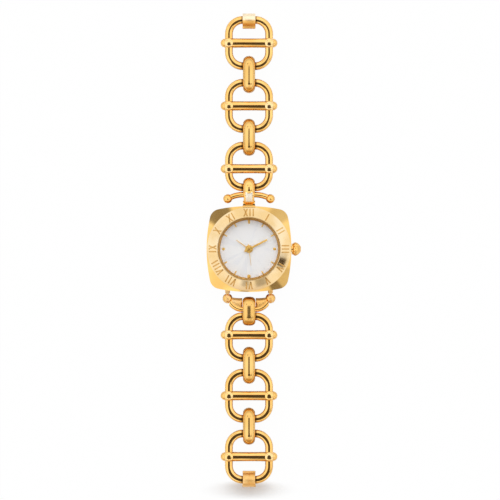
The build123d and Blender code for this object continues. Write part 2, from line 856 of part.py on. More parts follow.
def upper_hook():
    """Hook that hinges on the case, holds the bit bar and carries ring three."""
    outer = slot_radius + hook_strand
    body = rounded_loop(hook_pivot_y, hook_wire_y, hook_tongue_radius, outer, hook_width, hook_edge_round)
    body = slotted(body, bit_y, hook_wire_y, bit_diameter / 2 + solder_gap, slot_radius, hook_width)
    clear = ear_radius + hinge_swing_gap
    tongue = hook_tongue_width / 2
    reach = hook_width / 2 + overrun
    for side in (-1, 1):
        low, high = sorted((side * tongue, side * reach))
        body -= rod_x(clear, low, high, hook_pivot_y, chain_height)
    bore = hook_pin_radius + pin_clearance
    return body - rod_x(bore, -reach, reach, hook_pivot_y, chain_height)


def upper_hook_pin():
    """Pin through the lug ears and the hook."""
    half = hook_width / 2
    return rod_x(hook_pin_radius, -half, half, hook_pivot_y, chain_height)


def bit_bar():
    """Arched cross bar with a ball at each end, soldered into the hook."""
    ball = bit_ball_diameter / 2
    half = bit_straight / 2
    dx = bit_ball_reach - half
    bend = (dx**2 + bit_ball_drop**2) / (2 * bit_ball_drop)
    path = Line((-half, 0), (half, 0))
    for side in (-1, 1):
        centre = Vector(side * half, -bend)
        middle = Vector(side * dx / 2, sqrt(bend**2 - dx**2 / 4))
        path += ThreePointArc((side * half, 0), centre + middle, (side * bit_ball_reach, -bit_ball_drop))
    path = Wire(path.edges())
    section = Plane(path.location_at(0)) * Circle(bit_diameter / 2)
    bar = sweep(section, path=path)
    for side in (-1, 1):
        bar += Pos(side * bit_ball_reach, -bit_ball_drop, 0) * Sphere(ball)
    return Pos(0, bit_y, chain_height) * bar


def bow_path():
    """Centreline of the stirrup's bow: a straight middle and two arms up to the knuckles."""
    top_x = joint_ball_reach - knuckle_inset
    dx = top_x - bow_straight
    bend = (dx**2 + bow_drop**2) / (2 * bow_drop)
    path = Line((-bow_straight, -bow_drop), (bow_straight, -bow_drop))
    for side in (-1, 1):
        half_angle = dx / bend / 2
        middle = (side * (bow_straight + bend * sin(half_angle)), -bow_drop + bend * (1 - cos(half_angle)))
        path += ThreePointArc((side * bow_straight, -bow_drop), middle, (side * top_x, 0))
    return Wire(path.edges())


def stirrup():
    """Bow with a recessed web and rail each side and a knuckle at each end."""
    path = bow_path()
    body = sweep(Plane(path.location_at(0)) * Circle(bow_diameter / 2), path=path)
    for side in (-1, 1):
        body += stirrup_web(side)
    slices = stirrup_limits()
    body = body & slices
    for side in (-1, 1):
        body += knuckle(side)
    body = Pos(0, stirrup_y, chain_height) * body
    bore = stirrup_pin_radius + press_clearance
    end = joint_ball_reach
    return body - rod_x(bore, -end, end, stirrup_y, chain_height)


def stirrup_limits():
    """Space between the two case eyes, where the stirrup may lie."""
    half = joint_ball_reach - eye_thickness / 2 - hinge_side_gap
    span = bow_drop + joint_ball_diameter
    return Box(2 * half, 2 * span, joint_ball_diameter)


def knuckle(side):
    """Inner slice of the joint ball."""
    half_eye = eye_thickness / 2 + hinge_side_gap
    return ball_slice(side, -half_eye, -joint_ball_diameter)


def stirrup_web(side):
    """Recessed web with the rail along its upper edge, on one side of the loop."""
    start = (side * (joint_ball_reach - eye_thickness), -rail_start_drop)
    inner = lower_loop_width / 2 + web_gap
    end = (side * inner, -rail_end_drop)
    middle = ((start[0] + end[0]) / 2, (start[1] + end[1]) / 2 - rail_sag)
    rail_path = ThreePointArc(start, middle, end)
    rail = sweep(Plane(rail_path.location_at(0)) * Circle(rail_diameter / 2), path=rail_path)
    outer = (side * (joint_ball_reach - eye_thickness), -rail_start_drop - bow_diameter / 2)
    low_corner = (side * (joint_ball_reach + bow_straight) / 2, -bow_drop * web_drop_share)
    outline = rail_path + Polyline(end, (end[0], -bow_drop), low_corner, outer, start)
    web = extrude(make_face(outline), web_thickness / 2, both=True)
    return rail + web


def stirrup_pins():
    """Two rivets through the case eyes, each with the outer slice of the joint ball as its head."""
    pins = []
    half_eye = eye_thickness / 2 + hinge_side_gap
    half_pin = joint_ball_diameter * stirrup_pin_share
    for side in (-1, 1):
        x = side * joint_ball_reach
        head = ball_slice(side, half_eye, joint_ball_diameter)
        pin = head + rod_x(stirrup_pin_radius, x - half_pin, x + half_pin, 0, 0)
        pins.append((Pos(0, stirrup_y, chain_height) * pin).solid())
    return Compound(children=pins)


def lower_loop():
    """Loop that hangs on the stirrup's bow and carries ring four."""
    outer = slot_radius + lower_loop_strand
    top_y = bow_y + lower_loop_rise - outer
    body = rounded_loop(lower_wire_y, top_y, outer, outer, lower_loop_width, loop_edge_round)
    return slotted(body, lower_wire_y, top_y, slot_radius, slot_radius, lower_loop_width)


flap_hinge_y = clasp_y - clasp_radius
flap_hinge_z = chain_height - clasp_lip_height
flap_bottom = chain_height - clasp_radius - flap_gap - flap_thickness


def clasp_tube():
    """Sleeve on the end ring with a lip and two knuckles for the flap."""
    half = clasp_width / 2
    body = rod_x(clasp_radius, -half, half, clasp_y, chain_height)
    lip_end = flap_hinge_y - clasp_lip_length
    body += block(-half, half, lip_end, clasp_y, flap_hinge_z, chain_height)
    body += rod_x(flap_hinge_radius, -half, half, flap_hinge_y, flap_hinge_z)
    gap = flap_knuckle_width / 2 + hinge_side_gap
    body -= rod_x(flap_hinge_radius + hinge_swing_gap, -gap, gap, flap_hinge_y, flap_hinge_z)
    body -= rod_x(slot_radius, -half - overrun, half + overrun, clasp_y, chain_height)
    bore = flap_pin_radius + press_clearance
    return body - rod_x(bore, -half - overrun, half + overrun, flap_hinge_y, flap_hinge_z)


def clasp_flap():
    """Fold-over flap behind the sleeve, with a turned-up tip."""
    half = flap_width / 2
    knuckle_half = flap_knuckle_width / 2
    top = flap_bottom + flap_thickness
    end = flap_hinge_y + flap_length
    plate = block(-half, half, flap_hinge_y + flap_hinge_radius, end, flap_bottom, top)
    neck = block(-knuckle_half, knuckle_half, flap_hinge_y, flap_hinge_y + 2 * flap_hinge_radius,
                 flap_bottom, top)
    tip = block(-half, half, end, end + flap_thickness, flap_bottom, top + flap_tip_height)
    barrel = rod_x(flap_hinge_radius, -knuckle_half, knuckle_half, flap_hinge_y, flap_hinge_z)
    web = block(-knuckle_half, knuckle_half, flap_hinge_y, flap_hinge_y + flap_thickness,
                flap_bottom, flap_hinge_z)
    body = plate + neck + tip + barrel + web
    bore = flap_pin_radius + pin_clearance
    return body - rod_x(bore, -half, half, flap_hinge_y, flap_hinge_z)


def clasp_flap_pin():
    """Pin through the sleeve's knuckles and the flap."""
    half = clasp_width / 2
    return rod_x(flap_pin_radius, -half, half, flap_hinge_y, flap_hinge_z)


def catch_tube():
    """Sleeve on the other end ring with the catch groove and lip."""
    half = catch_width / 2
    body = rod_x(catch_radius, -half, half, catch_y, chain_height)
    lip_end = catch_y + catch_radius + catch_lip_length
    body += block(-half, half, catch_y, lip_end, chain_height - catch_radius / 2, chain_height)
    top = chain_height + catch_radius
    half_groove = catch_groove_width / 2
    body -= block(-half - overrun, half + overrun, catch_y - half_groove, catch_y + half_groove,
                  top - catch_groove_depth, top + overrun)
    return body - rod_x(slot_radius, -half - overrun, half + overrun, catch_y, chain_height)


def all_parts():
    """Every node's solid by its name."""
    parts = {
        "case_middle": case_middle(), "case_posts": case_posts(), "case_back": case_back(),
        "back_gasket": back_gasket(),
        "bezel_ring": bezel_ring(), "crystal": crystal(), "crystal_gasket": crystal_gasket(),
        "dial": dial(), "hour_markers": hour_markers(), "hour_hand": hour_hand(),
        "minute_hand": minute_hand(), "second_hand": second_hand(),
        "movement_ring": movement_ring(), "main_plate": main_plate(), "train_bridge": train_bridge(),
        "seconds_wheel": seconds_wheel(), "third_wheel": third_wheel(), "fifth_wheel": fifth_wheel(),
        "centre_wheel": centre_wheel(), "minute_wheel": minute_wheel(), "hour_wheel": hour_wheel(),
        "rotor": rotor(), "stator": stator(), "coil": coil(), "battery": battery(),
        "battery_strap": battery_strap(), "circuit_board": circuit_board(),
        "crown": crown(), "crown_stem": crown_stem(), "crown_tube": crown_tube(),
        "crown_gasket": crown_gasket(), "clutch_wheel": clutch_wheel(), "setting_lever": setting_lever(),
        "upper_hook": upper_hook(), "upper_hook_pin": upper_hook_pin(), "bit_bar": bit_bar(),
        "stirrup": stirrup(), "stirrup_pins": stirrup_pins(), "lower_loop": lower_loop(),
        "clasp_tube": clasp_tube(), "clasp_flap": clasp_flap(), "clasp_flap_pin": clasp_flap_pin(),
        "catch_tube": catch_tube(),
    }
    top_down = upper_bar_y[::-1] + lower_bar_y
    for n, bar_y in enumerate(top_down, start=1):
        upper = ring_short_reach if n == 4 else ring_half_length
        lower = ring_short_reach if n == 3 else ring_half_length
        parts[f"link_{n}_ring"] = link_ring(bar_y, upper, lower)
        parts[f"link_{n}_bar"] = link_bar(bar_y)
    for n, bar_y in ((1, top_down[1]), (2, top_down[2])):
        parts[f"loop_{n}{n + 1}"] = connector_loop(bar_y + ring_half_length)
    for n, bar_y in ((4, top_down[4]), (5, top_down[5])):
        parts[f"loop_{n}{n + 1}"] = connector_loop(bar_y + ring_half_length - lower_slack / 2)
    return parts


os.makedirs("parts", exist_ok=True)
for name, shape in all_parts().items():
    export_step(shape, f"parts/{name}.step")
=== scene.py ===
from math import asin, atan2, copysign, cos, hypot, pi, radians, sin
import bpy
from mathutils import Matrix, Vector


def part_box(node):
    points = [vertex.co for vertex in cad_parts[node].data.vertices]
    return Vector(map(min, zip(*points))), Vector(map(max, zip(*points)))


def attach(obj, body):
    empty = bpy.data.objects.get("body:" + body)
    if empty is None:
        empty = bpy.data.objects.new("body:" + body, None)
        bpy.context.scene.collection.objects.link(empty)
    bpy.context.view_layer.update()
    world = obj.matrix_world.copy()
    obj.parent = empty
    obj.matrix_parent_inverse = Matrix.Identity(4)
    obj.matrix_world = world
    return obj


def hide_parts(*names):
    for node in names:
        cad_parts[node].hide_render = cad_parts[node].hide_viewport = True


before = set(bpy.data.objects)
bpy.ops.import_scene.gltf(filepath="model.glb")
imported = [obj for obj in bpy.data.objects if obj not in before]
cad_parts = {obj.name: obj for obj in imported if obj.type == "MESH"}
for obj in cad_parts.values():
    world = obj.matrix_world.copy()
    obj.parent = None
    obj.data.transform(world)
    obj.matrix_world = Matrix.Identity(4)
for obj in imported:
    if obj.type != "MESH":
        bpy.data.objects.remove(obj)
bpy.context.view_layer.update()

from types import SimpleNamespace

import bmesh
import bpy
from bpy.props import FloatProperty, FloatVectorProperty, PointerProperty
from mathutils import Matrix, Vector

bl_info = {
    "name": "Bracelet watch",
    "version": (1, 0, 0),
    "blender": (4, 5, 0),
    "location": "View3D > Sidebar > Watch",
    "description": "Dresses the packed model of a bracelet watch with polished pieces",
    "category": "Add Mesh",
}

MM = 0.001
TINY = 0.001             # smaller than what counts, in millimetres or in a circle of radius 1
QUARTER = pi / 2
WHITE = (1.0, 1.0, 1.0, 1.0)


# Sizes and colours that a user would change

def length(name, metres, description):
    """A length that the sidebar can change."""
    return FloatProperty(name=name, description=description, default=metres, unit="LENGTH", precision=5)


def turn(name, degrees, description):
    """An angle that the sidebar can change."""
    return FloatProperty(name=name, description=description, default=radians(degrees), subtype="ANGLE")


def share(name, value, description):
    """A share from 0 to 1 that the sidebar can change."""
    return FloatProperty(name=name, description=description, default=value,
                         min=0.0, max=1.0, subtype="FACTOR")


def section(name, value, description):
    """The shape of a section, which the sidebar can change: 2 is round, more is squarer."""
    return FloatProperty(name=name, description=description, default=value, min=1.0)


def colour(name, value, description):
    """A colour that the sidebar can change."""
    return FloatVectorProperty(name=name, description=description, default=value, size=4,
                               min=0.0, max=1.0, subtype="COLOR")


class ChainSizes(bpy.types.PropertyGroup):
    """Rings, bars and loops of the chain"""
    height: length("Height", 0.0035, "Height of the chain's middle above the back")
    wire_radius: length("Wire radius", 0.0013, "Radius of a ring's round wire")
    half_width: length("Ring half width", 0.0067, "From the middle of a ring to its side wire")
    half_length: length("Ring half length", 0.0077, "From the bar to the ring's end wire")
    short_half: length("Short half length", 0.0062, "The same on the side next to the watch head")
    bend_radius: length("Bend radius", 0.0046, "Radius of the wire's middle in a corner")
    rod_radius: length("Rod radius", 0.0016, "Radius of a bar next to its bosses")
    waist_radius: length("Waist radius", 0.0015, "Radius of a bar in its middle")
    boss_radius: length("Boss radius", 0.001825, "Radius of the ball where bar and ring cross")
    ball_radius: length("Ball radius", 0.00147, "Radius of a bar's end ball")
    ball_reach: length("Ball reach", 0.008, "From the middle of a bar to its end ball")
    wire_shape: section("Wire shape", 2.8, "Shape of the wires: 2 is round, more is squarer")
    rod_shape: section("Rod shape", 2.8, "Shape of the bars: 2 is round, more is squarer")
    boss_shape: section("Boss shape", 3.2, "Shape of the bosses: 2 is a ball, more is flatter")
    loop_width: length("Loop width", 0.00406, "Width of a loop between two rings")
    loop_radius: length("Loop radius", 0.0034, "Radius of a loop's end")
    slot_radius: length("Slot radius", 0.0014, "Radius of the slot that the wires lie in")
    loop_wall: length("Loop wall", 0.00175, "Height of a loop's round back above its flat inside")


class HeadSizes(bpy.types.PropertyGroup):
    """Bezel, dial and hands"""
    bezel_radius: length("Bezel radius", 0.01395, "Outer radius of the bezel")
    bezel_edge: length("Bezel edge", 0.00582, "Height of the bezel's outer edge")
    crest_radius: length("Crest radius", 0.0106, "Radius of the bezel's highest line")
    crest: length("Crest", 0.007, "Height of the bezel's highest line")
    numeral_start: length("Numeral start", 0.0109, "Radius of the numerals' feet")
    numeral_end: length("Numeral end", 0.01335, "Radius of the numerals' tops")
    numeral_stroke: length("Numeral stroke", 0.00044, "Width of a numeral's stroke")
    numeral_relief: length("Numeral relief", 0.00015, "How far a numeral stands out of the bezel")
    dial_top: length("Dial height", 0.00485, "Height of the dial's face")
    second_turn: turn("Second hand", 173.0, "Clockwise turn of the second hand")
    minute_turn: turn("Minute hand", 62.883, "Clockwise turn of the minute hand")
    hour_turn: turn("Hour hand", 305.24, "Clockwise turn of the hour hand")


class FinishColours(bpy.types.PropertyGroup):
    """Colours of the metals and of the dial"""
    gold: colour("Gold", (0.96, 0.61, 0.21, 1.0), "Colour of the polished gold")
    gold_deep: colour("Deep gold", (0.90, 0.52, 0.15, 1.0), "Darker tone of the polished gold")
    gold_pale: colour("Pale gold", (0.90, 0.62, 0.30, 1.0), "Light tone of the brushed gold")
    # Painted highlight: a paler copy of the gold that makes the bosses look more brightly lit
    boss_highlight_tone: colour("Boss gold", (0.96, 0.70, 0.36, 1.0), "Light tone of the bosses")
    # Painted shade: deep browns for the hub pin, which gives the hands' hub its dark centre, and for the
    # stirrup's dark rails
    shade_brown_light: colour("Brown gold", (0.6, 0.34, 0.1, 1.0), "Light tone of hub pin and rails")
    shade_brown_deep: colour("Deep brown gold", (0.36, 0.18, 0.04, 1.0), "Darker tone of hub pin and rails")
    # Painted shade: the wire's tone where a link lies on it, in place of the contact shadow
    wire_painted_shade: colour("Dark wire", (0.25, 0.11, 0.025, 1.0), "Tone of a ring's wire under a link")
    case_light: colour("Light case gold", (0.87, 0.57, 0.2, 1.0), "Light tone of the case")
    case_deep: colour("Deep case gold", (0.77, 0.47, 0.14, 1.0), "Darker tone of the case")
    # Painted highlight: near-white tones for the plate that copies the tongue's bright reflection
    plate_highlight_white: colour("Plate white", (1.0, 0.97, 0.88, 1.0), "Light tone of the hook's plate")
    plate_highlight_cream: colour("Plate cream", (1.0, 0.86, 0.62, 1.0), "Darker tone of the hook's plate")
    # Painted light: the pale tone of the sleeve's lit half
    sleeve_painted_light: colour("Sleeve cream", (1.0, 0.84, 0.6, 1.0), "Upper tone of the clasp's sleeve")
    hand_light: colour("Light hand gold", (0.9, 0.57, 0.14, 1.0), "Light tone of hands and markers")
    hand_deep: colour("Deep hand gold", (0.8, 0.47, 0.1, 1.0), "Darker tone of hands and markers")
    numeral_light: colour("Light numerals", (0.7, 0.43, 0.15, 1.0), "Light tone of the numerals")
    numeral_deep: colour("Deep numerals", (0.56, 0.31, 0.09, 1.0), "Darker tone of the numerals")
    # Painted shade: deep brown tones for the ring in the recess round the dial, darker than the gold as if
    # in shade
    rehaut_shade_light: colour("Light rehaut", (0.62, 0.35, 0.1, 1.0), "Light tone of the ring round the dial")
    rehaut_shade_deep: colour("Deep rehaut", (0.5, 0.26, 0.06, 1.0), "Darker tone of the ring round the dial")
    # Painted shade: a darker copy of the polished gold that makes the loops look less lit
    loop_shaded_light: colour("Light loop gold", (0.87, 0.55, 0.19, 1.0), "Light tone of the loops")
    loop_shaded_deep: colour("Deep loop gold", (0.78, 0.46, 0.13, 1.0), "Darker tone of the loops")
    bezel_light: colour("Light bezel gold", (0.80, 0.64, 0.41, 1.0), "Light tone of the bezel")
    bezel_deep: colour("Deep bezel gold", (0.72, 0.51, 0.24, 1.0), "Darker tone of the bezel")
    pearl: colour("Pearl", (0.93, 0.94, 0.965, 1.0), "Cool tone of the dial")
    pearl_light: colour("Light pearl", (1.0, 1.0, 1.0, 1.0), "Bright tone of the dial")
    gold_roughness: share("Gold roughness", 0.09, "Roughness of the polished gold")


class StageSettings(bpy.types.PropertyGroup):
    """Camera, floor and light"""
    view_width: length("View width", 0.16667, "Width of what the camera sees at the chain's height")
    view_x: length("View middle X", 0.00033, "Where the camera points, across")
    view_y: length("View middle Y", -0.00033, "Where the camera points, along")
    lens: FloatProperty(name="Lens", description="Focal length in millimetres", default=200.0)
    floor_size: length("Floor size", 6.0, "Side of the square floor")
    floor_glow: share("Floor glow", 0.97, "How much of the floor's white is its own")
    shade_y: length("Shade Y", -0.0806, "Where the floor shows the shade of the lower end")
    shade_width: length("Shade width", 0.0175, "Half width of that place")
    shade_length: length("Shade length", 0.0035, "Half length of that place")


def in_mm(group):
    """A group's values by name, its lengths in millimetres."""
    values = {}
    for name in type(group).__annotations__:
        value = getattr(group, name)
        is_length = group.bl_rna.properties[name].unit == "LENGTH"
        values[name] = value / MM if is_length else value
    return SimpleNamespace(**values)


# Mesh work, in millimetres until a piece is finished

class Drawn:
    """A section that is drawn out step by step, as wire is through formers."""

    def __init__(self, mesh, edges):
        self.mesh = mesh
        self.edges = edges

    def step(self, matrix):
        """Extrudes the section's outline once and moves the new end."""
        made = bmesh.ops.extrude_edge_only(self.mesh, edges=self.edges)["geom"]
        ends = {part for part in made if isinstance(part, bmesh.types.BMVert)}
        bmesh.ops.transform(self.mesh, matrix=matrix, verts=list(ends))
        self.edges = [part for part in made if isinstance(part, bmesh.types.BMEdge)
                      and part.verts[0] in ends and part.verts[1] in ends]

    def run(self, move, steps=1):
        """Straight stretch."""
        for _ in range(steps):
            self.step(Matrix.Translation(Vector(move) / steps))

    def bend(self, centre, axis, angle, steps):
        """Stretch that turns about an axis through a centre."""
        to_centre = Matrix.Translation(Vector(centre))
        rotation = to_centre @ Matrix.Rotation(angle / steps, 4, axis) @ to_centre.inverted()
        for _ in range(steps):
            self.step(rotation)

    def cap(self):
        """Closes the open end with one face."""
        bmesh.ops.edgeloop_fill(self.mesh, edges=self.edges)


def power(value, exponent):
    """A power that keeps the sign."""
    return copysign(abs(value) ** exponent, value)


def round_section(mesh, radius, sides, place, shape=2.0):
    """Edges of a circle, or with a shape above 2 of a squarer one, put in place by a matrix."""
    verts = bmesh.ops.create_circle(mesh, segments=sides, radius=1.0, cap_ends=False)["verts"]
    for vert in verts:
        vert.co = (radius * power(vert.co.x, 2 / shape), radius * power(vert.co.y, 2 / shape), 0)
    bmesh.ops.transform(mesh, matrix=place, verts=verts)
    return loop_edges(verts)


def loop_edges(verts):
    """Edges between some vertices."""
    inside = set(verts)
    return list({edge for vert in verts for edge in vert.link_edges
                 if edge.other_vert(vert) in inside})


def lathe(mesh, outline, axis, place=(0, 0, 0), steps=72):
    """Turns an open or closed outline of (along, radius) points about the X or Z axis of a place."""
    if axis == "X":
        direction = (1, 0, 0)
        points = [(along, radius, 0) for along, radius in outline]
    else:
        direction = (0, 0, 1)
        points = [(radius, 0, along) for along, radius in outline]
    verts = [mesh.verts.new(Vector(place) + Vector(point)) for point in points]
    edges = [mesh.edges.new(pair) for pair in zip(verts, verts[1:])]
    bmesh.ops.spin(mesh, geom=verts + edges, cent=place, axis=direction, dvec=(0, 0, 0),
                   angle=2 * pi, steps=steps, use_merge=True, use_duplicate=False)


def ball(mesh, radius, place, slices=48):
    """Round ball."""
    made = bmesh.ops.create_uvsphere(mesh, u_segments=slices, v_segments=slices // 2, radius=radius,
                                     matrix=Matrix.Translation(Vector(place)))
    return made["verts"]


def brick(mesh, size, matrix, rounding, segments=2):
    """Box with rounded edges, put in its place by a matrix."""
    scale = Matrix.Diagonal((*size, 1.0))
    verts = bmesh.ops.create_cube(mesh, size=1.0, matrix=scale)["verts"]
    made = bmesh.ops.bevel(mesh, geom=loop_edges(verts), offset=rounding, offset_type="OFFSET",
                           segments=segments, profile=0.5, affect="EDGES", material=-1)
    verts = list({vert for face in made["faces"] for vert in face.verts})
    bmesh.ops.transform(mesh, matrix=matrix, verts=verts)
    return verts


def hull_outline(mesh, ends, x, sides):
    """Outline round two circles in the plane across X; ends are (y, z, radius)."""
    verts = bmesh.ops.create_circle(mesh, segments=sides, radius=1.0, cap_ends=False,
                                    matrix=Matrix.Rotation(pi / sides, 4, "Z"))["verts"]
    edges = loop_edges(verts)
    for vert in verts:
        across, up = vert.co.x, vert.co.y
        y, z, radius = max(ends, key=lambda end: end[0] * across + end[1] * up + end[2])
        vert.co = (x, y + radius * across, z + radius * up)
    return edges


def link_section(mesh, width, slot, wall, shape, place, sides=44):
    """Section of a link: round back, nearly flat inside; its radius counts from the bend's middle."""
    rim, flatness = 0.25, 0.35
    verts = bmesh.ops.create_circle(mesh, segments=sides, radius=1.0, cap_ends=False)["verts"]
    for vert in verts:
        across, up = vert.co.x, vert.co.y
        if up >= -TINY:
            radius = slot + rim + wall * power(max(up, 0), 2 / shape)
            vert.co = (width / 2 * power(across, 2 / shape), 0, radius)
        else:
            radius = slot + rim - rim * power(-up, flatness)
            vert.co = (width / 2 * power(across, flatness), 0, radius)
    bmesh.ops.transform(mesh, matrix=place, verts=verts)
    return loop_edges(verts)


def bent_link(mesh, width, slot, wall, shape, low, high, height):
    """Closed link bent round two slot ends at low and high Y."""
    place = Matrix.Translation((0, high, height))
    link = Drawn(mesh, link_section(mesh, width, slot, wall, shape, place))
    for end, run in ((high, low - high), (low, high - low)):
        link.bend((0, end, height), "X", -pi, 28)
        link.run((0, run, 0), 6)


def hull_plate(mesh, ends, width, rounding, sides=40):
    """Plate round two circles, as wide as given along X, its rims rounded."""
    outline = hull_outline(mesh, ends, -width / 2, sides)
    face = bmesh.ops.edgeloop_fill(mesh, edges=outline)["faces"]
    made = bmesh.ops.extrude_face_region(mesh, geom=face)["geom"]
    far = [part for part in made if isinstance(part, bmesh.types.BMVert)]
    bmesh.ops.translate(mesh, vec=(width, 0, 0), verts=far)
    rims = outline + loop_edges(far)
    bmesh.ops.bevel(mesh, geom=rims, offset=rounding, offset_type="OFFSET", segments=4,
                    profile=0.5, affect="EDGES", material=-1)


def finish_piece(name, mesh, body, finish, replaced=(), crease=40.0):
    """Merges and turns faces, brings the mesh to metres, and ties the piece to its body."""
    bmesh.ops.remove_doubles(mesh, verts=mesh.verts, dist=TINY)
    bmesh.ops.recalc_face_normals(mesh, faces=mesh.faces)
    bmesh.ops.scale(mesh, vec=(MM, MM, MM), verts=mesh.verts)
    for face in mesh.faces:
        face.smooth = True
    data = bpy.data.meshes.new(name)
    mesh.to_mesh(data)
    mesh.free()
    data.set_sharp_from_angle(angle=radians(crease))
    data.materials.append(bpy.data.materials[finish])
    piece = bpy.data.objects.new(name, data)
    bpy.context.scene.collection.objects.link(piece)
    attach(piece, body)
    if replaced:
        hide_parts(*replaced)
    return piece


# Shader work

class Value:
    """One output of a shader node; Python's operators on it add Math nodes."""

    def __init__(self, graph, socket):
        self.graph = graph
        self.socket = socket

    def maths(self, operation, first, *others):
        """Adds one Math node."""
        values = dict(enumerate((first, *others)))
        return self.graph.add("ShaderNodeMath", {"operation": operation}, values)

    def __add__(self, other):
        return self.maths("ADD", self, other)

    def __sub__(self, other):
        return self.maths("SUBTRACT", self, other)

    def __rsub__(self, other):
        return self.maths("SUBTRACT", other, self)

    def __mul__(self, other):
        return self.maths("MULTIPLY", self, other)

    def __truediv__(self, other):
        return self.maths("DIVIDE", self, other)

    def __rtruediv__(self, other):
        return self.maths("DIVIDE", other, self)

    def __abs__(self):
        return self.maths("ABSOLUTE", self)

    __radd__ = __add__
    __rmul__ = __mul__

    def larger(self, other):
        """The larger of two values."""
        return self.maths("MAXIMUM", self, other)

    def fade(self, start, end):
        """0 up to start, 1 from end on, smooth between."""
        return self.graph.add("ShaderNodeMapRange", {"interpolation_type": "SMOOTHSTEP"},
                              {"Value": self, "From Min": start, "From Max": end})


class Graph:
    """A node tree that is filled from empty."""

    def __init__(self, tree):
        self.tree = tree
        tree.nodes.clear()

    def add(self, kind, settings=None, values=None, output=0):
        """Adds a node: its settings first, then the values or links of its sockets."""
        node = self.tree.nodes.new(kind)
        for name, setting in (settings or {}).items():
            setattr(node, name, setting)
        for key, value in (values or {}).items():
            if isinstance(value, Value):
                self.tree.links.new(value.socket, node.inputs[key])
            else:
                node.inputs[key].default_value = value
        return Value(self, node.outputs[output]) if node.outputs else None

    def mix(self, factor, first, second):
        """Mixes two colours; sockets 0, 6 and 7 and output 2 are those of a Mix node set to colour."""
        return self.add("ShaderNodeMix", {"data_type": "RGBA"}, {0: factor, 6: first, 7: second}, 2)

    def place(self):
        """Where a point lies on the piece, in metres."""
        return self.add("ShaderNodeTexCoord", output=3)

    def parts(self, vector):
        """X, Y and Z of a vector."""
        first = self.add("ShaderNodeSeparateXYZ", values={0: vector})
        return [Value(self, output) for output in first.socket.node.outputs]

    def noise(self, vector, scale, detail=2.0, roughness=0.5):
        """Cloudy pattern; scale is per metre."""
        values = {"Vector": vector, "Scale": scale, "Detail": detail, "Roughness": roughness}
        return self.add("ShaderNodeTexNoise", values=values)

    def stretched(self, vector, scale):
        """A vector with its parts scaled."""
        return self.add("ShaderNodeMapping", {"vector_type": "POINT"}, {"Vector": vector, "Scale": scale})

    def bump(self, height, distance, strength=1.0):
        """Normal from a height pattern."""
        values = {"Height": height, "Distance": distance, "Strength": strength}
        return self.add("ShaderNodeBump", values=values)

    def end(self, shader, kind="ShaderNodeOutputMaterial"):
        """Links a shader to the tree's output."""
        self.add(kind, values={0: shader})


def new_finish(name):
    """A material with an empty tree."""
    material = bpy.data.materials.new(name)
    material.use_nodes = True
    return Graph(material.node_tree)


def principled(graph, **values):
    """The shader that every solid finish ends in."""
    names = {"tone": "Base Color", "metal": "Metallic", "roughness": "Roughness", "normal": "Normal"}
    sockets = {names[key]: value for key, value in values.items()}
    return graph.add("ShaderNodeBsdfPrincipled", values=sockets)


FINE_LINES = 0.0000003       # heights of the polishing lines, in metres
SATIN_LINES = 0.0000005
BRUSHED_LINES = 0.0000006


def clouds(graph, light, deep):
    """Faint clouds between two tones of gold."""
    cloud = graph.noise(graph.place(), 140.0, 3.0)
    return graph.mix(cloud.fade(0.3, 0.7), light, deep)


def hairlines(graph, stretch=(1.0, 0.15, 1.0)):
    """Fine lines, long in the direction that is scaled least."""
    return graph.noise(graph.stretched(graph.place(), stretch), 3500.0, 2.0)


def end_gold(graph, tone, hair, roughness, lines, metal=1.0):
    """Ends a gold finish; the lines change its height and, by a little, its roughness."""
    spread = 0.06
    rough = hair * spread + (roughness - spread / 2)
    normal = graph.bump(hair, lines, 0.25)
    graph.end(principled(graph, tone=tone, metal=metal, roughness=rough, normal=normal))


def gold_finish(name, light, deep, roughness, lines, metal=1.0):
    """Gold with faint clouds of tone and fine polishing lines."""
    graph = new_finish(name)
    end_gold(graph, clouds(graph, light, deep), hairlines(graph), roughness, lines, metal)


def ring_finish(colours):
    """Gold with painted shade: darker where a link lies on the wire, in place of the contact shadow there.
    """
    graph = new_finish("ring_gold")
    across = graph.parts(graph.place())[0]
    # Painted shade: the wire turns dark next to each link, as a contact shadow would make it
    painted_contact_shade = abs(across).fade(0.00285, 0.0022)
    tone = graph.mix(painted_contact_shade, clouds(graph, colours.gold, colours.gold_deep), colours.wire_painted_shade)
    end_gold(graph, tone, hairlines(graph), colours.gold_roughness, FINE_LINES)


def sleeve_finish(colours):
    """Brushed gold of the clasp's sleeve: pale above, deeper below, which is painted light and shade."""
    graph = new_finish("sleeve_gold")
    along = graph.parts(graph.place())[1]
    hair = hairlines(graph, (0.2, 1.0, 1.0))
    # Painted light: the half above is coloured pale and the half below deep, as the light falls on it
    upper = (along + hair * 0.0001).fade(0.0758, 0.0766)
    tone = graph.mix(upper, colours.gold_deep, colours.sleeve_painted_light)
    end_gold(graph, tone, hair, 0.41, FINE_LINES)


def pearl_finish(colours):
    """Mother-of-pearl in faint sectors from the middle, with clouds."""
    graph = new_finish("pearl_dial")
    place = graph.place()
    x, y = graph.parts(place)[:2]
    flat = graph.add("ShaderNodeCombineXYZ", values={0: x, 1: y})
    ray = graph.add("ShaderNodeVectorMath", {"operation": "NORMALIZE"}, {0: flat})
    sector = graph.noise(ray, 2.6, 3.0, 0.55)
    cloud = graph.noise(place, 260.0, 3.0, 0.5)
    tone = graph.mix((sector * 0.8 + cloud * 0.2).fade(0.4, 0.5), colours.pearl, colours.pearl_light)
    normal = graph.bump(cloud, 0.00001, 0.2)
    graph.end(principled(graph, tone=tone, metal=0.0, roughness=cloud * 0.15 + 0.4, normal=normal))


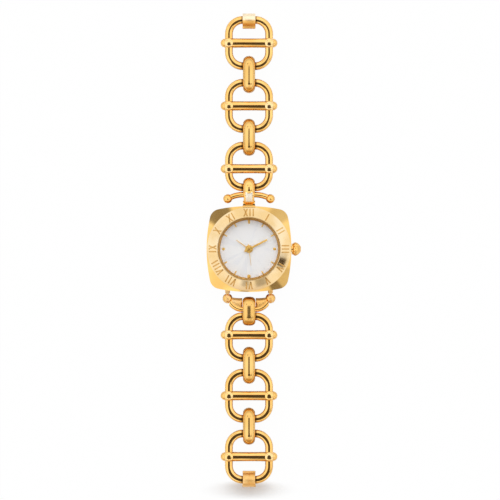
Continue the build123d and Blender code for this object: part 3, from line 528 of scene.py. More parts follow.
def glass_finish():
    """Clear glass that shows a faint reflection, with a hardly seen smear."""
    graph = new_finish("clear_glass")
    smear = graph.noise(graph.place(), 300.0, 2.0)
    edge = graph.add("ShaderNodeLayerWeight", values={"Blend": 0.1})
    clear = graph.add("ShaderNodeBsdfTransparent", values={"Color": (0.99, 0.99, 0.99, 1.0)})
    shine = principled(graph, tone=WHITE, metal=1.0, roughness=smear * 0.04)
    graph.end(graph.add("ShaderNodeMixShader", values={0: edge * 0.5 + smear * 0.01, 1: clear, 2: shine}))


def plain_finish(name, light, dark, metal, roughness, scale, stretch=(1.0, 1.0, 1.0)):
    """A grainy finish between two tones, for the movement and the seals."""
    graph = new_finish(name)
    place = graph.place()
    grain = graph.noise(graph.stretched(place, stretch), scale, 4.0, 0.6)
    tone = graph.mix(grain.fade(0.3, 0.7), light, dark)
    normal = graph.bump(grain, 0.00002, 0.3)
    graph.end(principled(graph, tone=tone, metal=metal, roughness=grain * 0.1 + roughness, normal=normal))


# Name, light tone, dark tone, share of metal, roughness, grain per metre, and the grain's stretch
PLAIN_FINISHES = (
    ("brushed_steel", (0.62, 0.61, 0.6, 1), (0.45, 0.45, 0.46, 1), 1.0, 0.25, 2500.0, (1, 0.1, 1)),
    ("wheel_brass", (0.85, 0.62, 0.3, 1), (0.7, 0.48, 0.2, 1), 1.0, 0.22, 2500.0),
    ("seal_rubber", (0.03, 0.03, 0.03, 1), (0.06, 0.06, 0.06, 1), 0.0, 0.6, 3000.0),
    # Painted shade: the crystal's seal is a dark brown gold that adds to the shaded ring round the dial
    ("clear_seal", (0.5, 0.26, 0.06, 1), (0.4, 0.2, 0.045, 1), 0.3, 0.4, 2000.0),
    ("spacer_plastic", (0.75, 0.73, 0.68, 1), (0.66, 0.64, 0.6, 1), 0.0, 0.45, 900.0),
    ("green_board", (0.03, 0.2, 0.08, 1), (0.05, 0.28, 0.11, 1), 0.0, 0.4, 1200.0),
    ("wound_copper", (0.75, 0.3, 0.13, 1), (0.45, 0.16, 0.07, 1), 1.0, 0.3, 6000.0, (1, 0.02, 0.02)),
)

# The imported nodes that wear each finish
FINISHES = {
    "brushed_gold": ("case_posts",),
    "case_gold": ("case_middle",),
    "polished_gold": ("bezel_ring", "hour_markers", "hour_hand", "minute_hand",
                      "second_hand", "crown", "crown_tube", "upper_hook", "upper_hook_pin", "bit_bar",
                      "stirrup", "stirrup_pins", "lower_loop", "clasp_tube", "clasp_flap", "clasp_flap_pin",
                      "catch_tube", "loop_12", "loop_23", "loop_45", "loop_56",
                      *(f"link_{n}_{part}" for n in range(1, 7) for part in ("ring", "bar"))),
    "brushed_steel": ("case_back", "main_plate", "stator", "battery", "battery_strap", "crown_stem",
                      "clutch_wheel", "setting_lever", "rotor"),
    "wheel_brass": ("seconds_wheel", "third_wheel", "fifth_wheel", "centre_wheel", "minute_wheel",
                    "hour_wheel", "train_bridge"),
    "seal_rubber": ("back_gasket", "crown_gasket"),
    "clear_seal": ("crystal_gasket",),
    "spacer_plastic": ("movement_ring",),
    "green_board": ("circuit_board",),
    "wound_copper": ("coil",),
    "pearl_dial": ("dial",),
    "clear_glass": ("crystal",),
}


class WATCH_OT_finishes(bpy.types.Operator):
    """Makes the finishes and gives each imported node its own"""
    bl_idname = "watch.finishes"
    bl_label = "Finishes"

    def execute(self, context):
        colours = context.scene.watch_colours
        gold, deep, polish = colours.gold, colours.gold_deep, colours.gold_roughness
        loop_shaded_light, loop_shaded_deep = colours.loop_shaded_light, colours.loop_shaded_deep
        # Name, light tone, darker tone, roughness, height of the lines, and share of metal if not 1
        golds = (
            ("polished_gold", gold, deep, polish, FINE_LINES),
            ("case_gold", colours.case_light, colours.case_deep, polish, FINE_LINES),
            ("soft_gold", colours.bezel_light, colours.bezel_deep, polish + 0.03, BRUSHED_LINES),
            ("numeral_gold", colours.numeral_light, colours.numeral_deep, 0.25, BRUSHED_LINES),
            # Painted shade: darker brown gold for the ring in the recess round the dial
            ("rehaut_shade_gold", colours.rehaut_shade_light, colours.rehaut_shade_deep, 0.4, SATIN_LINES, 0.45),
            ("brushed_gold", colours.gold_pale, deep, 0.42, BRUSHED_LINES),
            # Painted shade: the loops wear a darker copy of the polished gold
            ("loop_gold", loop_shaded_light, loop_shaded_deep, polish, FINE_LINES),
            ("satin_loop_gold", loop_shaded_light, loop_shaded_deep, 0.2, FINE_LINES),
            # Painted highlight: the bosses' paler copy of the polished gold
            ("boss_highlight_gold", colours.boss_highlight_tone, gold, polish, FINE_LINES),
            # Painted highlight: near-white gold for the hook's plate
            ("plate_highlight_gold", colours.plate_highlight_white, colours.plate_highlight_cream, 0.35, BRUSHED_LINES, 0.8),
            ("hand_gold", colours.hand_light, colours.hand_deep, 0.35, SATIN_LINES, 0.5),
            # Painted shade: deep brown gold for the hub pin and the rails
            ("shade_brown_gold", colours.shade_brown_light, colours.shade_brown_deep, 0.3, BRUSHED_LINES),
        )
        for row in golds:
            gold_finish(*row)
        ring_finish(colours)
        sleeve_finish(colours)
        pearl_finish(colours)
        glass_finish()
        for row in PLAIN_FINISHES:
            plain_finish(*row)
        for finish, nodes in FINISHES.items():
            for node in nodes:
                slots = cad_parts[node].material_slots
                if not slots:
                    raise RuntimeError(f"{node} has no material slot")
                for slot in slots:
                    slot.material = bpy.data.materials[finish]
        return {"FINISHED"}


def middle_y(node):
    """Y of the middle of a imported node, in millimetres."""
    low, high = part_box(node)
    return (low.y + high.y) / 2 / MM


class WATCH_OT_rings(bpy.types.Operator):
    """Bends the six rings of round wire"""
    bl_idname = "watch.rings"
    bl_label = "Rings"

    def execute(self, context):
        size = in_mm(context.scene.watch_chain)
        inner = size.half_width - size.bend_radius
        for number in range(1, 7):
            middle = middle_y(f"link_{number}_bar")
            upper = (size.short_half if number == 4 else size.half_length) - size.bend_radius
            lower = (size.short_half if number == 3 else size.half_length) - size.bend_radius
            mesh = bmesh.new()
            start = Matrix.Translation((size.half_width, middle, size.height))
            start = start @ Matrix.Rotation(QUARTER, 4, "X")
            wire = Drawn(mesh, round_section(mesh, size.wire_radius, 64, start, size.wire_shape))
            # Each straight stretch, its steps, and the middle of the bend after it
            path = (((0, upper, 0), 2, inner, middle + upper),
                    ((-2 * inner, 0, 0), 2, -inner, middle + upper),
                    ((0, -upper - lower, 0), 4, -inner, middle - lower),
                    ((2 * inner, 0, 0), 2, inner, middle - lower))
            for move, steps, x, y in path:
                wire.run(move, steps)
                wire.bend((x, y, size.height), "Z", QUARTER, 14)
            wire.run((0, lower, 0), 2)
            finish_piece(f"ring_{number}", mesh, f"link_{number}", "ring_gold",
                         [f"link_{number}_ring"])
        return {"FINISHED"}


class WATCH_OT_bars(bpy.types.Operator):
    """Turns the six bars with their bosses and end balls"""
    bl_idname = "watch.bars"
    bl_label = "Bars"

    def execute(self, context):
        size = in_mm(context.scene.watch_chain)
        reach = size.half_width
        belly = size.rod_radius - size.waist_radius
        stations = [reach * (n / 8 - 1) for n in range(17)]
        outline = [(x, size.waist_radius + belly * (x / reach) ** 2) for x in stations]
        for number in range(1, 7):
            y = middle_y(f"link_{number}_bar")
            mesh = bmesh.new()
            self.rod(mesh, outline, (0, y, size.height), size.rod_shape)
            for side in (-1, 1):
                ball(mesh, size.ball_radius, (side * size.ball_reach, y, size.height))
            finish_piece(f"bar_{number}", mesh, f"link_{number}", "polished_gold",
                         [f"link_{number}_bar"])
            mesh = bmesh.new()
            for side in (-1, 1):
                self.boss(mesh, size, (side * reach, y, size.height))
            # Painted highlight: the bosses wear a paler gold than the bars
            finish_piece(f"bosses_{number}", mesh, f"link_{number}", "boss_highlight_gold")
        return {"FINISHED"}

    def boss(self, mesh, size, place):
        """Sets a ball that is flatter above and below and fuller round its rim."""
        fuller = 2 / size.boss_shape
        verts = ball(mesh, 1.0, (0, 0, 0))
        for vert in verts:
            out = hypot(vert.co.x, vert.co.y)
            spread = out ** fuller / max(out, TINY)
            vert.co = (vert.co.x * spread, vert.co.y * spread, power(vert.co.z, fuller))
        bmesh.ops.scale(mesh, vec=[size.boss_radius] * 3, verts=verts)
        bmesh.ops.translate(mesh, vec=place, verts=verts)

    def rod(self, mesh, outline, place, shape):
        """Draws a closed rod along X whose radius follows the outline."""
        start, radius = outline[0]
        seat = Matrix.Translation((start, 0, 0)) @ Matrix.Rotation(QUARTER, 4, "Y")
        rod = Drawn(mesh, round_section(mesh, radius, 96, seat, shape))
        for (before, thick), (after, thin) in zip(outline, outline[1:]):
            change = Matrix.Diagonal((1, thin / thick, thin / thick, 1))
            rod.step(Matrix.Translation((after, 0, 0)) @ change @ Matrix.Translation((-before, 0, 0)))
        rod.cap()
        bmesh.ops.holes_fill(mesh, edges=[edge for edge in mesh.edges if edge.is_boundary])
        bmesh.ops.translate(mesh, vec=place, verts=mesh.verts)


class WATCH_OT_loops(bpy.types.Operator):
    """Makes the four loops between rings and the loop below the head"""
    bl_idname = "watch.loops"
    bl_label = "Loops"

    def execute(self, context):
        size = in_mm(context.scene.watch_chain)
        between = (size.loop_width, size.loop_wall, 2.0, size.loop_radius, "loop_gold")
        # Node, body, width, height of the back, shape of the section, radius of an end, finish
        rows = (
            ("loop_12", "loop_a", *between),
            ("loop_23", "loop_b", *between),
            ("loop_45", "loop_d", *between),
            ("loop_56", "loop_e", *between),
            ("lower_loop", "loop_c", 4.3, 1.5, 2.5, 3.15, "satin_loop_gold"),
        )
        for node, body, width, wall, shape, radius, finish in rows:
            low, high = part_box(node)
            mesh = bmesh.new()
            bent_link(mesh, width, size.slot_radius, wall, shape,
                      low.y / MM + radius, high.y / MM - radius, size.height)
            finish_piece(f"{node}_shell", mesh, body, finish, [node])
        return {"FINISHED"}


class WATCH_OT_hook(bpy.types.Operator):
    """Makes the hook above the head with its tongue, and the arched bit bar"""
    bl_idname = "watch.hook"
    bl_label = "Hook and bit bar"

    def execute(self, context):
        size = in_mm(context.scene.watch_chain)
        self.hook(size)
        self.bit_bar(size.height)
        return {"FINISHED"}

    def hook(self, size):
        """Link round the ring's wire with its tongue, and the pale plate on the tongue, a painted
        highlight.
        """
        mesh = bmesh.new()
        width, wall, shape, low, high = 3.9, 1.6, 2.0, 19.95, 20.55
        bent_link(mesh, width, size.slot_radius, wall, shape, low, high, size.height)
        tongue = [(15.0, size.height, 0.95), (18.0, size.height + 0.75, 1.75)]
        hull_plate(mesh, tongue, width=3.5, rounding=0.4)
        finish_piece("hook_shell", mesh, "hook", "polished_gold", ["upper_hook"])
        mesh = bmesh.new()
        # Painted highlight: a near-white plate laid on the tongue where it reflects the light
        plate = [(16.1, size.height + 1.25, 0.55), (18.6, size.height + 1.13, 1.75)]
        hull_plate(mesh, plate, width=2.4, rounding=0.3)
        finish_piece("hook_plate", mesh, "hook", "plate_highlight_gold")

    def bit_bar(self, height):
        """Bar that is straight in the middle and bent down to a ball at each end."""
        mesh = bmesh.new()
        radius, ball_radius = 0.93, 1.5
        middle, reach, drop, half = 18.12, 7.1, 1.36, 1.8
        across = reach - half
        bend = (across ** 2 + drop ** 2) / (2 * drop)
        start = Matrix.Translation((0, middle, height)) @ Matrix.Rotation(QUARTER, 4, "Y")
        for side in (-1, 1):
            bar = Drawn(mesh, round_section(mesh, radius, 28, start))
            bar.run((side * half, 0, 0), 2)
            bar.bend((side * half, middle - bend, height), "Z", -side * asin(across / bend), 16)
            ball(mesh, ball_radius, (side * reach, middle - drop, height))
        finish_piece("bit_bar_shell", mesh, "hook", "polished_gold", ["bit_bar"])


NUMERALS = ("XII", "I", "II", "III", "IV", "V", "VI", "VII", "VIII", "IX", "X", "XI")
# The room a letter takes and the length of its serifs, in millimetres
LETTERS = {"I": (1.1, 0.42), "V": (1.75, 0.55), "X": (1.75, 0.55)}


class WATCH_OT_bezel(bpy.types.Operator):
    """Turns the bezel and the ring below the crystal, and sets the numerals on the bezel"""
    bl_idname = "watch.bezel"
    bl_label = "Bezel and numerals"

    def execute(self, context):
        size = in_mm(context.scene.watch_head)
        outer, edge = size.bezel_radius, size.bezel_edge
        crest, crest_radius = size.crest, size.crest_radius
        foot, foot_radius, under = 5.35, 13.6, 5.76
        inner, seat = 9.95, 10.38
        # Height and radius of each corner, outwards along the foot and back over the crest
        outline = [
            (foot, inner), (foot, foot_radius), (under, foot_radius), (under, outer - 0.02),
            (edge - 0.02, outer), (edge + 0.03, outer - 0.08),
            (crest - 0.02, crest_radius + 0.06), (crest, crest_radius),
            (crest - 0.02, crest_radius - 0.08), (crest - 0.09, seat + 0.04), (crest - 0.2, seat),
            (6.1, seat - 0.03), (5.95, seat - 0.1), (foot, inner),
        ]
        mesh = bmesh.new()
        lathe(mesh, outline, "Z", steps=128)
        finish_piece("bezel_shell", mesh, "case", "soft_gold", ["bezel_ring"], crease=50.0)
        # The same for the ring below the crystal
        outline = [(4.9, 9.62), (5.35, 9.62), (5.9, 10.1), (5.9, 10.2), (4.9, 10.2), (4.9, 9.62)]
        mesh = bmesh.new()
        lathe(mesh, outline, "Z", steps=128)
        # Painted shade: the ring round the dial wears a darker brown gold
        finish_piece("rehaut", mesh, "case", "rehaut_shade_gold", crease=50.0)
        drop, run = crest - edge, outer - crest_radius
        slope = atan2(drop, run)
        tall = (size.numeral_end - size.numeral_start) / cos(slope)
        middle = (size.numeral_end + size.numeral_start) / 2
        lift = crest - (middle - crest_radius) * drop / run
        seat_in = Matrix.Translation((0, middle, lift)) @ Matrix.Rotation(-slope, 4, "X")
        mesh = bmesh.new()
        for hour, letters in enumerate(NUMERALS):
            spin_in = Matrix.Rotation(-hour * pi / 6, 4, "Z")
            self.numeral(mesh, letters, spin_in @ seat_in, tall, size)
        finish_piece("numerals", mesh, "case", "numeral_gold")
        return {"FINISHED"}

    def numeral(self, mesh, letters, place, tall, size):
        """Sets one numeral, its letters side by side on the slope."""
        serif_width, serif_inset, fill = 0.15, 0.07, 0.8
        x = -sum(LETTERS[letter][0] for letter in letters) / 2
        for letter in letters:
            width, serif = LETTERS[letter]
            x += width / 2
            lean = (width - size.numeral_stroke) / 2 * fill
            # Where each stroke has its top and its foot, across
            strokes = {"I": [(0, 0)], "V": [(-lean, 0), (lean, 0)], "X": [(-lean, lean), (lean, -lean)]}
            for top, foot in strokes[letter]:
                start, end = (x + foot, -tall / 2), (x + top, tall / 2)
                self.stroke(mesh, place, start, end, size.numeral_stroke, size)
            for edge in (-1, 1):
                y = edge * (tall / 2 - serif_inset)
                single = letter == "I" or (letter == "V" and edge < 0)
                for spot in (0,) if single else (-lean, lean):
                    start, end = (x + spot - serif / 2, y), (x + spot + serif / 2, y)
                    self.stroke(mesh, place, start, end, serif_width, size)
            x += width / 2

    def stroke(self, mesh, place, start, end, width, size):
        """Sets one raised stroke between two points on the slope."""
        run = Vector(end) - Vector(start)
        middle = (Vector(end) + Vector(start)) / 2
        relief = size.numeral_relief
        turned = Matrix.Rotation(atan2(run.y, run.x), 4, "Z")
        seat = place @ Matrix.Translation((middle.x, middle.y, 0)) @ turned
        brick(mesh, (run.length, width, 2 * relief), seat, relief * 0.6)


class WATCH_OT_markers(bpy.types.Operator):
    """Sets the bars and dots that mark the hours"""
    bl_idname = "watch.markers"
    bl_label = "Hour markers"

    def execute(self, context):
        size = in_mm(context.scene.watch_head)
        mesh = bmesh.new()
        outer, long, thick, lift = 9.8, 1.35, 0.24, 0.04
        for hour in range(12):
            spin_in = Matrix.Rotation(-hour * pi / 6, 4, "Z")
            if hour in (3, 6, 9):
                radius, reach = (0.6, 9.1) if hour == 6 else (0.48, 8.5)
                dome = [(0, radius), (0.08, radius), (0.13, radius * 0.9), (0.16, radius * 0.6), (0.16, 0)]
                lathe(mesh, dome, "Z", spin_in @ Vector((0, reach, size.dial_top)), 32)
            else:
                wide = 0.68 if hour == 0 else 0.42
                seat = spin_in @ Matrix.Translation((0, outer - long / 2, size.dial_top + lift))
                brick(mesh, (wide, long, thick), seat, 0.1)
        finish_piece("hour_markers_shell", mesh, "case", "hand_gold", ["hour_markers"])
        return {"FINISHED"}


class WATCH_OT_hands(bpy.types.Operator):
    """Makes the three hands and the pin in their hub"""
    bl_idname = "watch.hands"
    bl_label = "Hands"

    def execute(self, context):
        size = in_mm(context.scene.watch_head)
        # Name, height, turn, reach, tail, width, width of the tip, radius of the hub, body
        rows = (("hour", 5.05, size.hour_turn, 5.2, 1.2, 0.36, 0.16, 1.3, "hour_train"),
                ("minute", 5.35, size.minute_turn, 6.8, 1.7, 0.62, 0.56, 1.0, "minute_train"),
                ("second", 5.65, size.second_turn, 5.55, 1.7, 0.2, 0.12, 0.6, "seconds_train"))
        thick, rim_width, edge_rounding = 0.14, 0.1, 0.045
        angles = [n * pi / 8 - QUARTER for n in range(9)]
        for name, z, angle, reach, tail, width, tip, hub, body in rows:
            mesh = bmesh.new()
            spin_in = Matrix.Rotation(-angle, 4, "Z")
            seat = spin_in @ Matrix.Translation((0, (reach - tail) / 2, z + thick / 2))
            verts = brick(mesh, (width, reach + tail, thick), Matrix.Identity(4), edge_rounding)
            for vert in verts:
                along = vert.co.y / (reach + tail) + 0.5
                vert.co.x *= 1 + (tip / width - 1) * along
            bmesh.ops.transform(mesh, matrix=seat, verts=verts)
            rim = [(thick / 2 + thick / 2 * sin(a), hub - rim_width + rim_width * cos(a)) for a in angles]
            lathe(mesh, [(0, 0), *rim, (thick, 0)], "Z", (0, 0, z), 48)
            finish_piece(f"{name}_hand_shell", mesh, body, "hand_gold", [f"{name}_hand"])
        mesh = bmesh.new()
        pin, pin_foot = [(0, 0), (0, 0.42), (0.1, 0.42), (0.16, 0.32), (0.16, 0)], 5.79
        lathe(mesh, pin, "Z", (0, 0, pin_foot), 32)
        # Painted shade: the pin is deep brown, giving the hub its dark centre
        finish_piece("hand_pin", mesh, "seconds_train", "shade_brown_gold")
        return {"FINISHED"}


class WATCH_OT_crown(bpy.types.Operator):
    """Makes the fluted crown"""
    bl_idname = "watch.crown"
    bl_label = "Crown"

    def execute(self, context):
        mesh = bmesh.new()
        start, height = 14.26, 3.1
        # How far out, the radius there, and the depth of the flutes
        stations = ((0.0, 1.7, 0), (0.05, 1.83, 0), (0.35, 1.83, 0), (0.42, 1.78, 0.02), (0.6, 2.05, 0.1),
                    (0.95, 2.24, 0.16), (1.3, 2.29, 0.18), (1.7, 2.15, 0.17), (2.1, 1.86, 0.14),
                    (2.4, 1.6, 0.1), (2.7, 1.25, 0.05), (2.95, 0.95, 0.01), (3.03, 0.7, 0))
        section = bmesh.ops.create_circle(mesh, segments=144, radius=1.0, cap_ends=True)["verts"]
        knob = Drawn(mesh, loop_edges(section))
        self.flute(section, *stations[0])
        for along, radius, depth in stations[1:]:
            knob.step(Matrix.Identity(4))
            self.flute({vert for edge in knob.edges for vert in edge.verts}, along, radius, depth)
        knob.cap()
        place = Matrix.Translation((start, 0, height)) @ Matrix.Rotation(QUARTER, 4, "Y")
        bmesh.ops.transform(mesh, matrix=place, verts=mesh.verts)
        finish_piece("crown_shell", mesh, "crown_group", "polished_gold", ["crown"])
        return {"FINISHED"}

    def flute(self, verts, along, radius, depth, ribs=12):
        """Puts a ring of points at its station, drawn in between the ribs."""
        for vert in verts:
            angle = atan2(vert.co.y, vert.co.x)
            reach = radius - depth * (0.5 + 0.5 * cos(ribs * angle)) ** 2
            vert.co = (reach * cos(angle), reach * sin(angle), along)


def roll(mesh, start, end, place, radius=0.65):
    """Round roll along X from start to end."""
    lathe(mesh, [(start, 0), (start, radius), (end, radius), (end, 0)], "X", place, 32)


class WATCH_OT_ends(bpy.types.Operator):
    """Makes the tab above twelve, the stirrup's webs and rails, and the clasp with its flap and catch"""
    bl_idname = "watch.ends"
    bl_label = "Tab, webs and clasp"

    def execute(self, context):
        size = in_mm(context.scene.watch_chain)
        hinge_y, hinge_z = 74.2, 2.0
        self.tab()
        self.webs()
        self.rails()
        self.clasp(size, hinge_y, hinge_z)
        self.catch(size)
        self.flap(hinge_y, hinge_z)
        return {"FINISHED"}

    def tab(self):
        """Tab above twelve with a roll along its outer edge."""
        mesh = bmesh.new()
        brick(mesh, (4.0, 1.9, 0.9), Matrix.Translation((0, 13.35, 5.5)), 0.15)
        finish_piece("tab", mesh, "case", "soft_gold")
        mesh = bmesh.new()
        half, radius = 2.1, 0.56
        flat_half, end_radius = 1.98, 0.45
        outline = [(-half, 0), (-half, end_radius), (-flat_half, radius),
                   (flat_half, radius), (half, end_radius), (half, 0)]
        lathe(mesh, outline, "X", (0, 14.0, 5.45), 40)
        finish_piece("tab_roll", mesh, "case", "polished_gold")

    def webs(self):
        """Pillowed webs between the stirrup's rails and its bow."""
        mesh = bmesh.new()
        start, width, height, pillow = 2.24, 3.9, 3.94, 0.4
        for side in (-1, 1):
            verts = bmesh.ops.create_grid(mesh, x_segments=20, y_segments=12, size=0.5)["verts"]
            for vert in verts:
                across, up = vert.co.x + 0.5, vert.co.y + 0.5
                top = -17.3 + 0.8 * across
                low = -20.0 + 3.1 * across ** 2.6
                rise = (1 - abs(2 * up - 1) ** 2.5) * (1 - abs(2 * across - 1) ** 4)
                vert.co = (side * (start + width * across), low + (top - low) * up, height + pillow * rise)
        finish_piece("stirrup_webs", mesh, "stirrup_group", "brushed_gold", crease=60.0)

    def rails(self):
        """Round rails above the webs, each drawn from its post towards the middle."""
        mesh = bmesh.new()
        radius, steps, inwards, fall, change = 0.42, 10, 0.395, -0.085, 0.012
        for side in (-1, 1):
            start = Matrix.Translation((side * 6.2, -16.45, 3.7)) @ Matrix.Rotation(QUARTER, 4, "Y")
            rail = Drawn(mesh, round_section(mesh, radius, 16, start))
            for step in range(steps):
                rail.run((-side * inwards, fall + change * step, 0))
            rail.cap()
        # Painted shade: the rails are deep brown, giving the web's top edge a dark line
        finish_piece("stirrup_rails", mesh, "stirrup_group", "shade_brown_gold")

    def clasp(self, size, hinge_y, hinge_z):
        """Sleeve of the clasp with the two rolls of its hinge."""
        profile = ((2.16, 1.85), (2.12, 2.03), (2.0, 2.12), (0.0, 2.15))
        mesh = self.sleeve(76.35, size, profile, (73.45, 75.4), 0.75)
        for side in (-1, 1):
            roll(mesh, side * 1.06, side * 2.1, (0, hinge_y, hinge_z))
            seat = Matrix.Translation((side * 1.58, hinge_y, hinge_z + 0.35))
            brick(mesh, (1.0, 1.2, 1.0), seat, 0.1)
        finish_piece("clasp_sleeve", mesh, "clasp", "sleeve_gold", ["clasp_tube"])

    def catch(self, size):
        """Sleeve of the catch, a little waisted."""
        profile = ((2.3, 2.2), (2.25, 2.34), (2.1, 2.4), (0.25, 2.4), (0.2, 2.3), (0.0, 2.3))
        mesh = self.sleeve(-76.9, size, profile, (-75.9, -74.0), 1.2)
        waist, waist_y, half = 0.88, -76.4, 2.6
        for vert in mesh.verts:
            vert.co.x *= waist + 0.1 * min(1, ((vert.co.y - waist_y) / half) ** 2)
        finish_piece("catch_sleeve", mesh, "catch", "brushed_gold", ["catch_tube"])

    def flap(self, hinge_y, hinge_z):
        """Fold-over flap behind the clasp's sleeve, its tip no longer than the sleeve."""
        mesh = bmesh.new()
        # Size of each block, and the Y and Z of its middle
        rows = (((4.0, 3.1, 0.5), 76.4, 0.98), ((1.9, 1.3, 0.5), 74.85, 0.98),
                ((4.0, 0.5, 0.85), 78.2, 1.155), ((1.9, 0.5, 1.27), 74.45, 1.365))
        for extent, y, z in rows:
            brick(mesh, extent, Matrix.Translation((0, y, z)), 0.1)
        roll(mesh, -0.95, 0.95, (0, hinge_y, hinge_z))
        finish_piece("flap_shell", mesh, "flap", "brushed_gold", ["clasp_flap"])

    def sleeve(self, y, size, profile, lip, thickness):
        """A turned sleeve, half of it given as (x, radius), and its lip from one Y to another."""
        mesh = bmesh.new()
        half, slot = profile[0][0], size.slot_radius
        left = [(-x, radius) for x, radius in profile]
        right = [(x, radius) for x, radius in reversed(profile) if x]
        lathe(mesh, [(-half, slot), *left, *right, (half, slot), (-half, slot)], "X", (0, y, size.height))
        start, end = lip
        seat = Matrix.Translation((0, (start + end) / 2, size.height - thickness / 2))
        brick(mesh, (2 * half - 0.06, end - start, thickness), seat, 0.3, 3)
        return mesh


# Dark gaps in the light that metal sees: direction clockwise from twelve, half width, softness,
# least and largest tilt from straight up, all in degrees, and how dark
GAPS = (
    (320, 12, 6, 26, 36.5, 0.78),
    (40, 9, 6, 26, 36.5, 0.36),
    (145, 5, 3, 26, 36.5, 0.8),
    (128, 8, 8, 26, 36.5, 0.35),
    (180, 9, 6, 26, 46, 0.5),
    (112, 7, 1.0, 36, 48, 1.0),
    (102, 4, 6, 36, 48, 0.25),
    (160, 7, 5, 36, 48, 0.55),
)
LOW_TONE = (0.62, 0.42, 0.2, 1.0)            # what metal sees near the floor at six o'clock
GAP_TONE = (0.05, 0.03, 0.012, 1.0)
OVERHEAD_TONE = (0.025, 0.015, 0.006, 1.0)


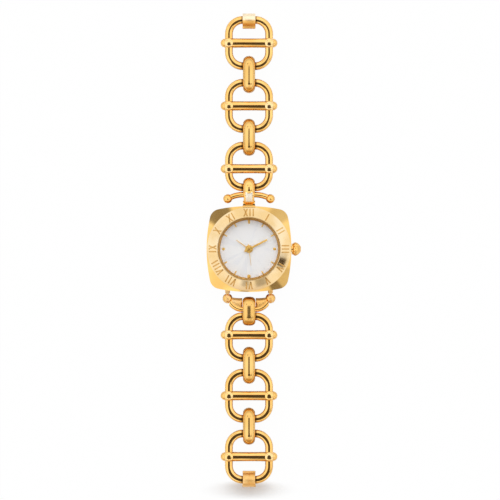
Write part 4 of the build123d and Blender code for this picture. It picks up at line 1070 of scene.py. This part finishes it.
class WATCH_OT_stage(bpy.types.Operator):
    """Sets the floor, the soft light and the camera"""
    bl_idname = "watch.stage"
    bl_label = "Stage"

    def execute(self, context):
        settings = context.scene.watch_stage
        self.floor(settings)
        self.world(context)
        lens = settings.lens
        camera = bpy.data.cameras.new("camera")
        camera.lens = lens
        camera.clip_end = 20.0
        viewer = bpy.data.objects.new("camera", camera)
        distance = settings.view_width * lens / camera.sensor_width
        height = context.scene.watch_chain.height + distance
        viewer.location = (settings.view_x, settings.view_y, height)
        context.scene.collection.objects.link(viewer)
        context.scene.camera = viewer
        context.scene.view_settings.view_transform = "Standard"
        return {"FINISHED"}

    def rays(self, graph):
        """Values by name that are 1 for one kind of ray and 0 for the others."""
        node = graph.add("ShaderNodeLightPath").socket.node
        return {output.name: Value(graph, output) for output in node.outputs}

    def floor(self, settings):
        """Plain pale floor that glows, less so where the shade of the lower end lies."""
        mesh = bmesh.new()
        bmesh.ops.create_grid(mesh, x_segments=2, y_segments=2, size=settings.floor_size / 2)
        data = bpy.data.meshes.new("floor")
        mesh.to_mesh(data)
        mesh.free()
        plate = bpy.data.objects.new("floor", data)
        bpy.context.scene.collection.objects.link(plate)
        graph = new_finish("pale_floor")
        ray = self.rays(graph)
        cloud = graph.noise(graph.place(), 3.0)
        tone = graph.mix(cloud, (0.965, 0.965, 0.965, 1.0), (0.985, 0.985, 0.985, 1.0))
        matte = principled(graph, tone=tone, metal=0.0, roughness=0.9)
        glow = graph.add("ShaderNodeEmission", values={"Color": WHITE, "Strength": 1.0})
        x, y = graph.parts(graph.place())[:2]
        along = y - settings.shade_y
        far = x * x / settings.shade_width ** 2 + along * along / settings.shade_length ** 2
        own = far.fade(0.0, 1.0) * settings.floor_glow
        direct = ray["Is Camera Ray"].larger(ray["Is Transmission Ray"])
        graph.end(graph.add("ShaderNodeMixShader", values={0: direct * own, 1: matte, 2: glow}))
        data.materials.append(bpy.data.materials["pale_floor"])

    def world(self, context):
        """White surround. Metal sees it uneven, with dark gaps; matte things are lit from twelve."""
        world = bpy.data.worlds.new("studio")
        world.use_nodes = True
        context.scene.world = world
        graph = Graph(world.node_tree)
        ray = self.rays(graph)
        x, y, z = graph.parts(graph.add("ShaderNodeTexCoord"))
        tilt = z.maths("ARCCOSINE", z)
        azimuth = z.maths("ARCTAN2", x, y)
        swirl = graph.add("ShaderNodeCombineXYZ", values={0: azimuth * 2.2, 1: tilt})
        sector = graph.noise(swirl, 1.0, 2.0)
        on_metal = tilt.fade(radians(85), radians(50)) * 0.45 + 0.8 + sector.fade(0.3, 0.7) * 0.12
        low = (y * -1).fade(0.6, 0.95)
        around = graph.mix(low, WHITE, LOW_TONE)
        for middle, half, soft, nearer, farther, depth in GAPS:
            centre = radians(middle if middle < 180 else middle - 360)
            gap = abs(azimuth - centre).fade(radians(half + soft), radians(half))
            gap = gap * tilt.fade(radians(nearer - 1), radians(nearer))
            gap = gap * tilt.fade(radians(farther + 1), radians(farther))
            around = graph.mix(gap * depth, around, GAP_TONE)
        around = graph.mix(self.overhead(x, y, z), around, OVERHEAD_TONE)
        for_metal = ray["Is Glossy Ray"]
        shown = graph.mix(for_metal, WHITE, around)
        towards_twelve = y.larger(0.0)
        on_matte = towards_twelve * towards_twelve * 3.8 + 0.535
        strength = (on_metal - 1.0) * for_metal + (on_matte - 1.0) * ray["Is Diffuse Ray"] + 1.0
        graph.end(graph.add("ShaderNodeBackground", values={"Color": shown, "Strength": strength}),
                  "ShaderNodeOutputWorld")

    def overhead(self, x, y, z):
        """Dark opening straight above, a fan towards twelve with a round core, that draws the dark
        lines on round forms; 1 inside."""
        up = z.larger(0.05)
        across, along = x / up, y / up
        reach = across * across + along * along
        wide = (abs(across - 0.02) - abs(along) * 1.3).fade(0.11, 0.02)
        fan = wide * along.fade(0.14, 0.02) * reach.fade(0.26, 0.21)
        core = (reach + along * 0.14).fade(0.044, 0.022)
        return fan.larger(core) * 0.96


OPERATORS = (WATCH_OT_finishes, WATCH_OT_stage, WATCH_OT_rings, WATCH_OT_bars, WATCH_OT_loops,
             WATCH_OT_hook, WATCH_OT_bezel, WATCH_OT_markers, WATCH_OT_hands, WATCH_OT_crown,
             WATCH_OT_ends)
GROUPS = {"watch_chain": ChainSizes, "watch_head": HeadSizes, "watch_colours": FinishColours,
          "watch_stage": StageSettings}


class WATCH_PT_panel(bpy.types.Panel):
    """Lists the steps that build the watch"""
    bl_label = "Bracelet watch"
    bl_idname = "WATCH_PT_panel"
    bl_space_type = "VIEW_3D"
    bl_region_type = "UI"
    bl_category = "Watch"

    def draw(self, context):
        for operator in OPERATORS:
            self.layout.operator(operator.bl_idname)
        for name, group in GROUPS.items():
            box = self.layout.box()
            for value in group.__annotations__:
                box.prop(getattr(context.scene, name), value)


def register():
    """Makes the sizes, operators and panel known."""
    for name, group in GROUPS.items():
        bpy.utils.register_class(group)
        setattr(bpy.types.Scene, name, PointerProperty(type=group))
    for operator in (*OPERATORS, WATCH_PT_panel):
        bpy.utils.register_class(operator)


def unregister():
    """Takes them away again."""
    for operator in (*OPERATORS, WATCH_PT_panel):
        bpy.utils.unregister_class(operator)
    for name, group in GROUPS.items():
        delattr(bpy.types.Scene, name)
        bpy.utils.unregister_class(group)


def main():
    """Builds everything in order."""
    register()
    for operator in OPERATORS:
        getattr(bpy.ops.watch, operator.bl_idname.split(".")[1])()


if __name__ == "__main__":
    main()
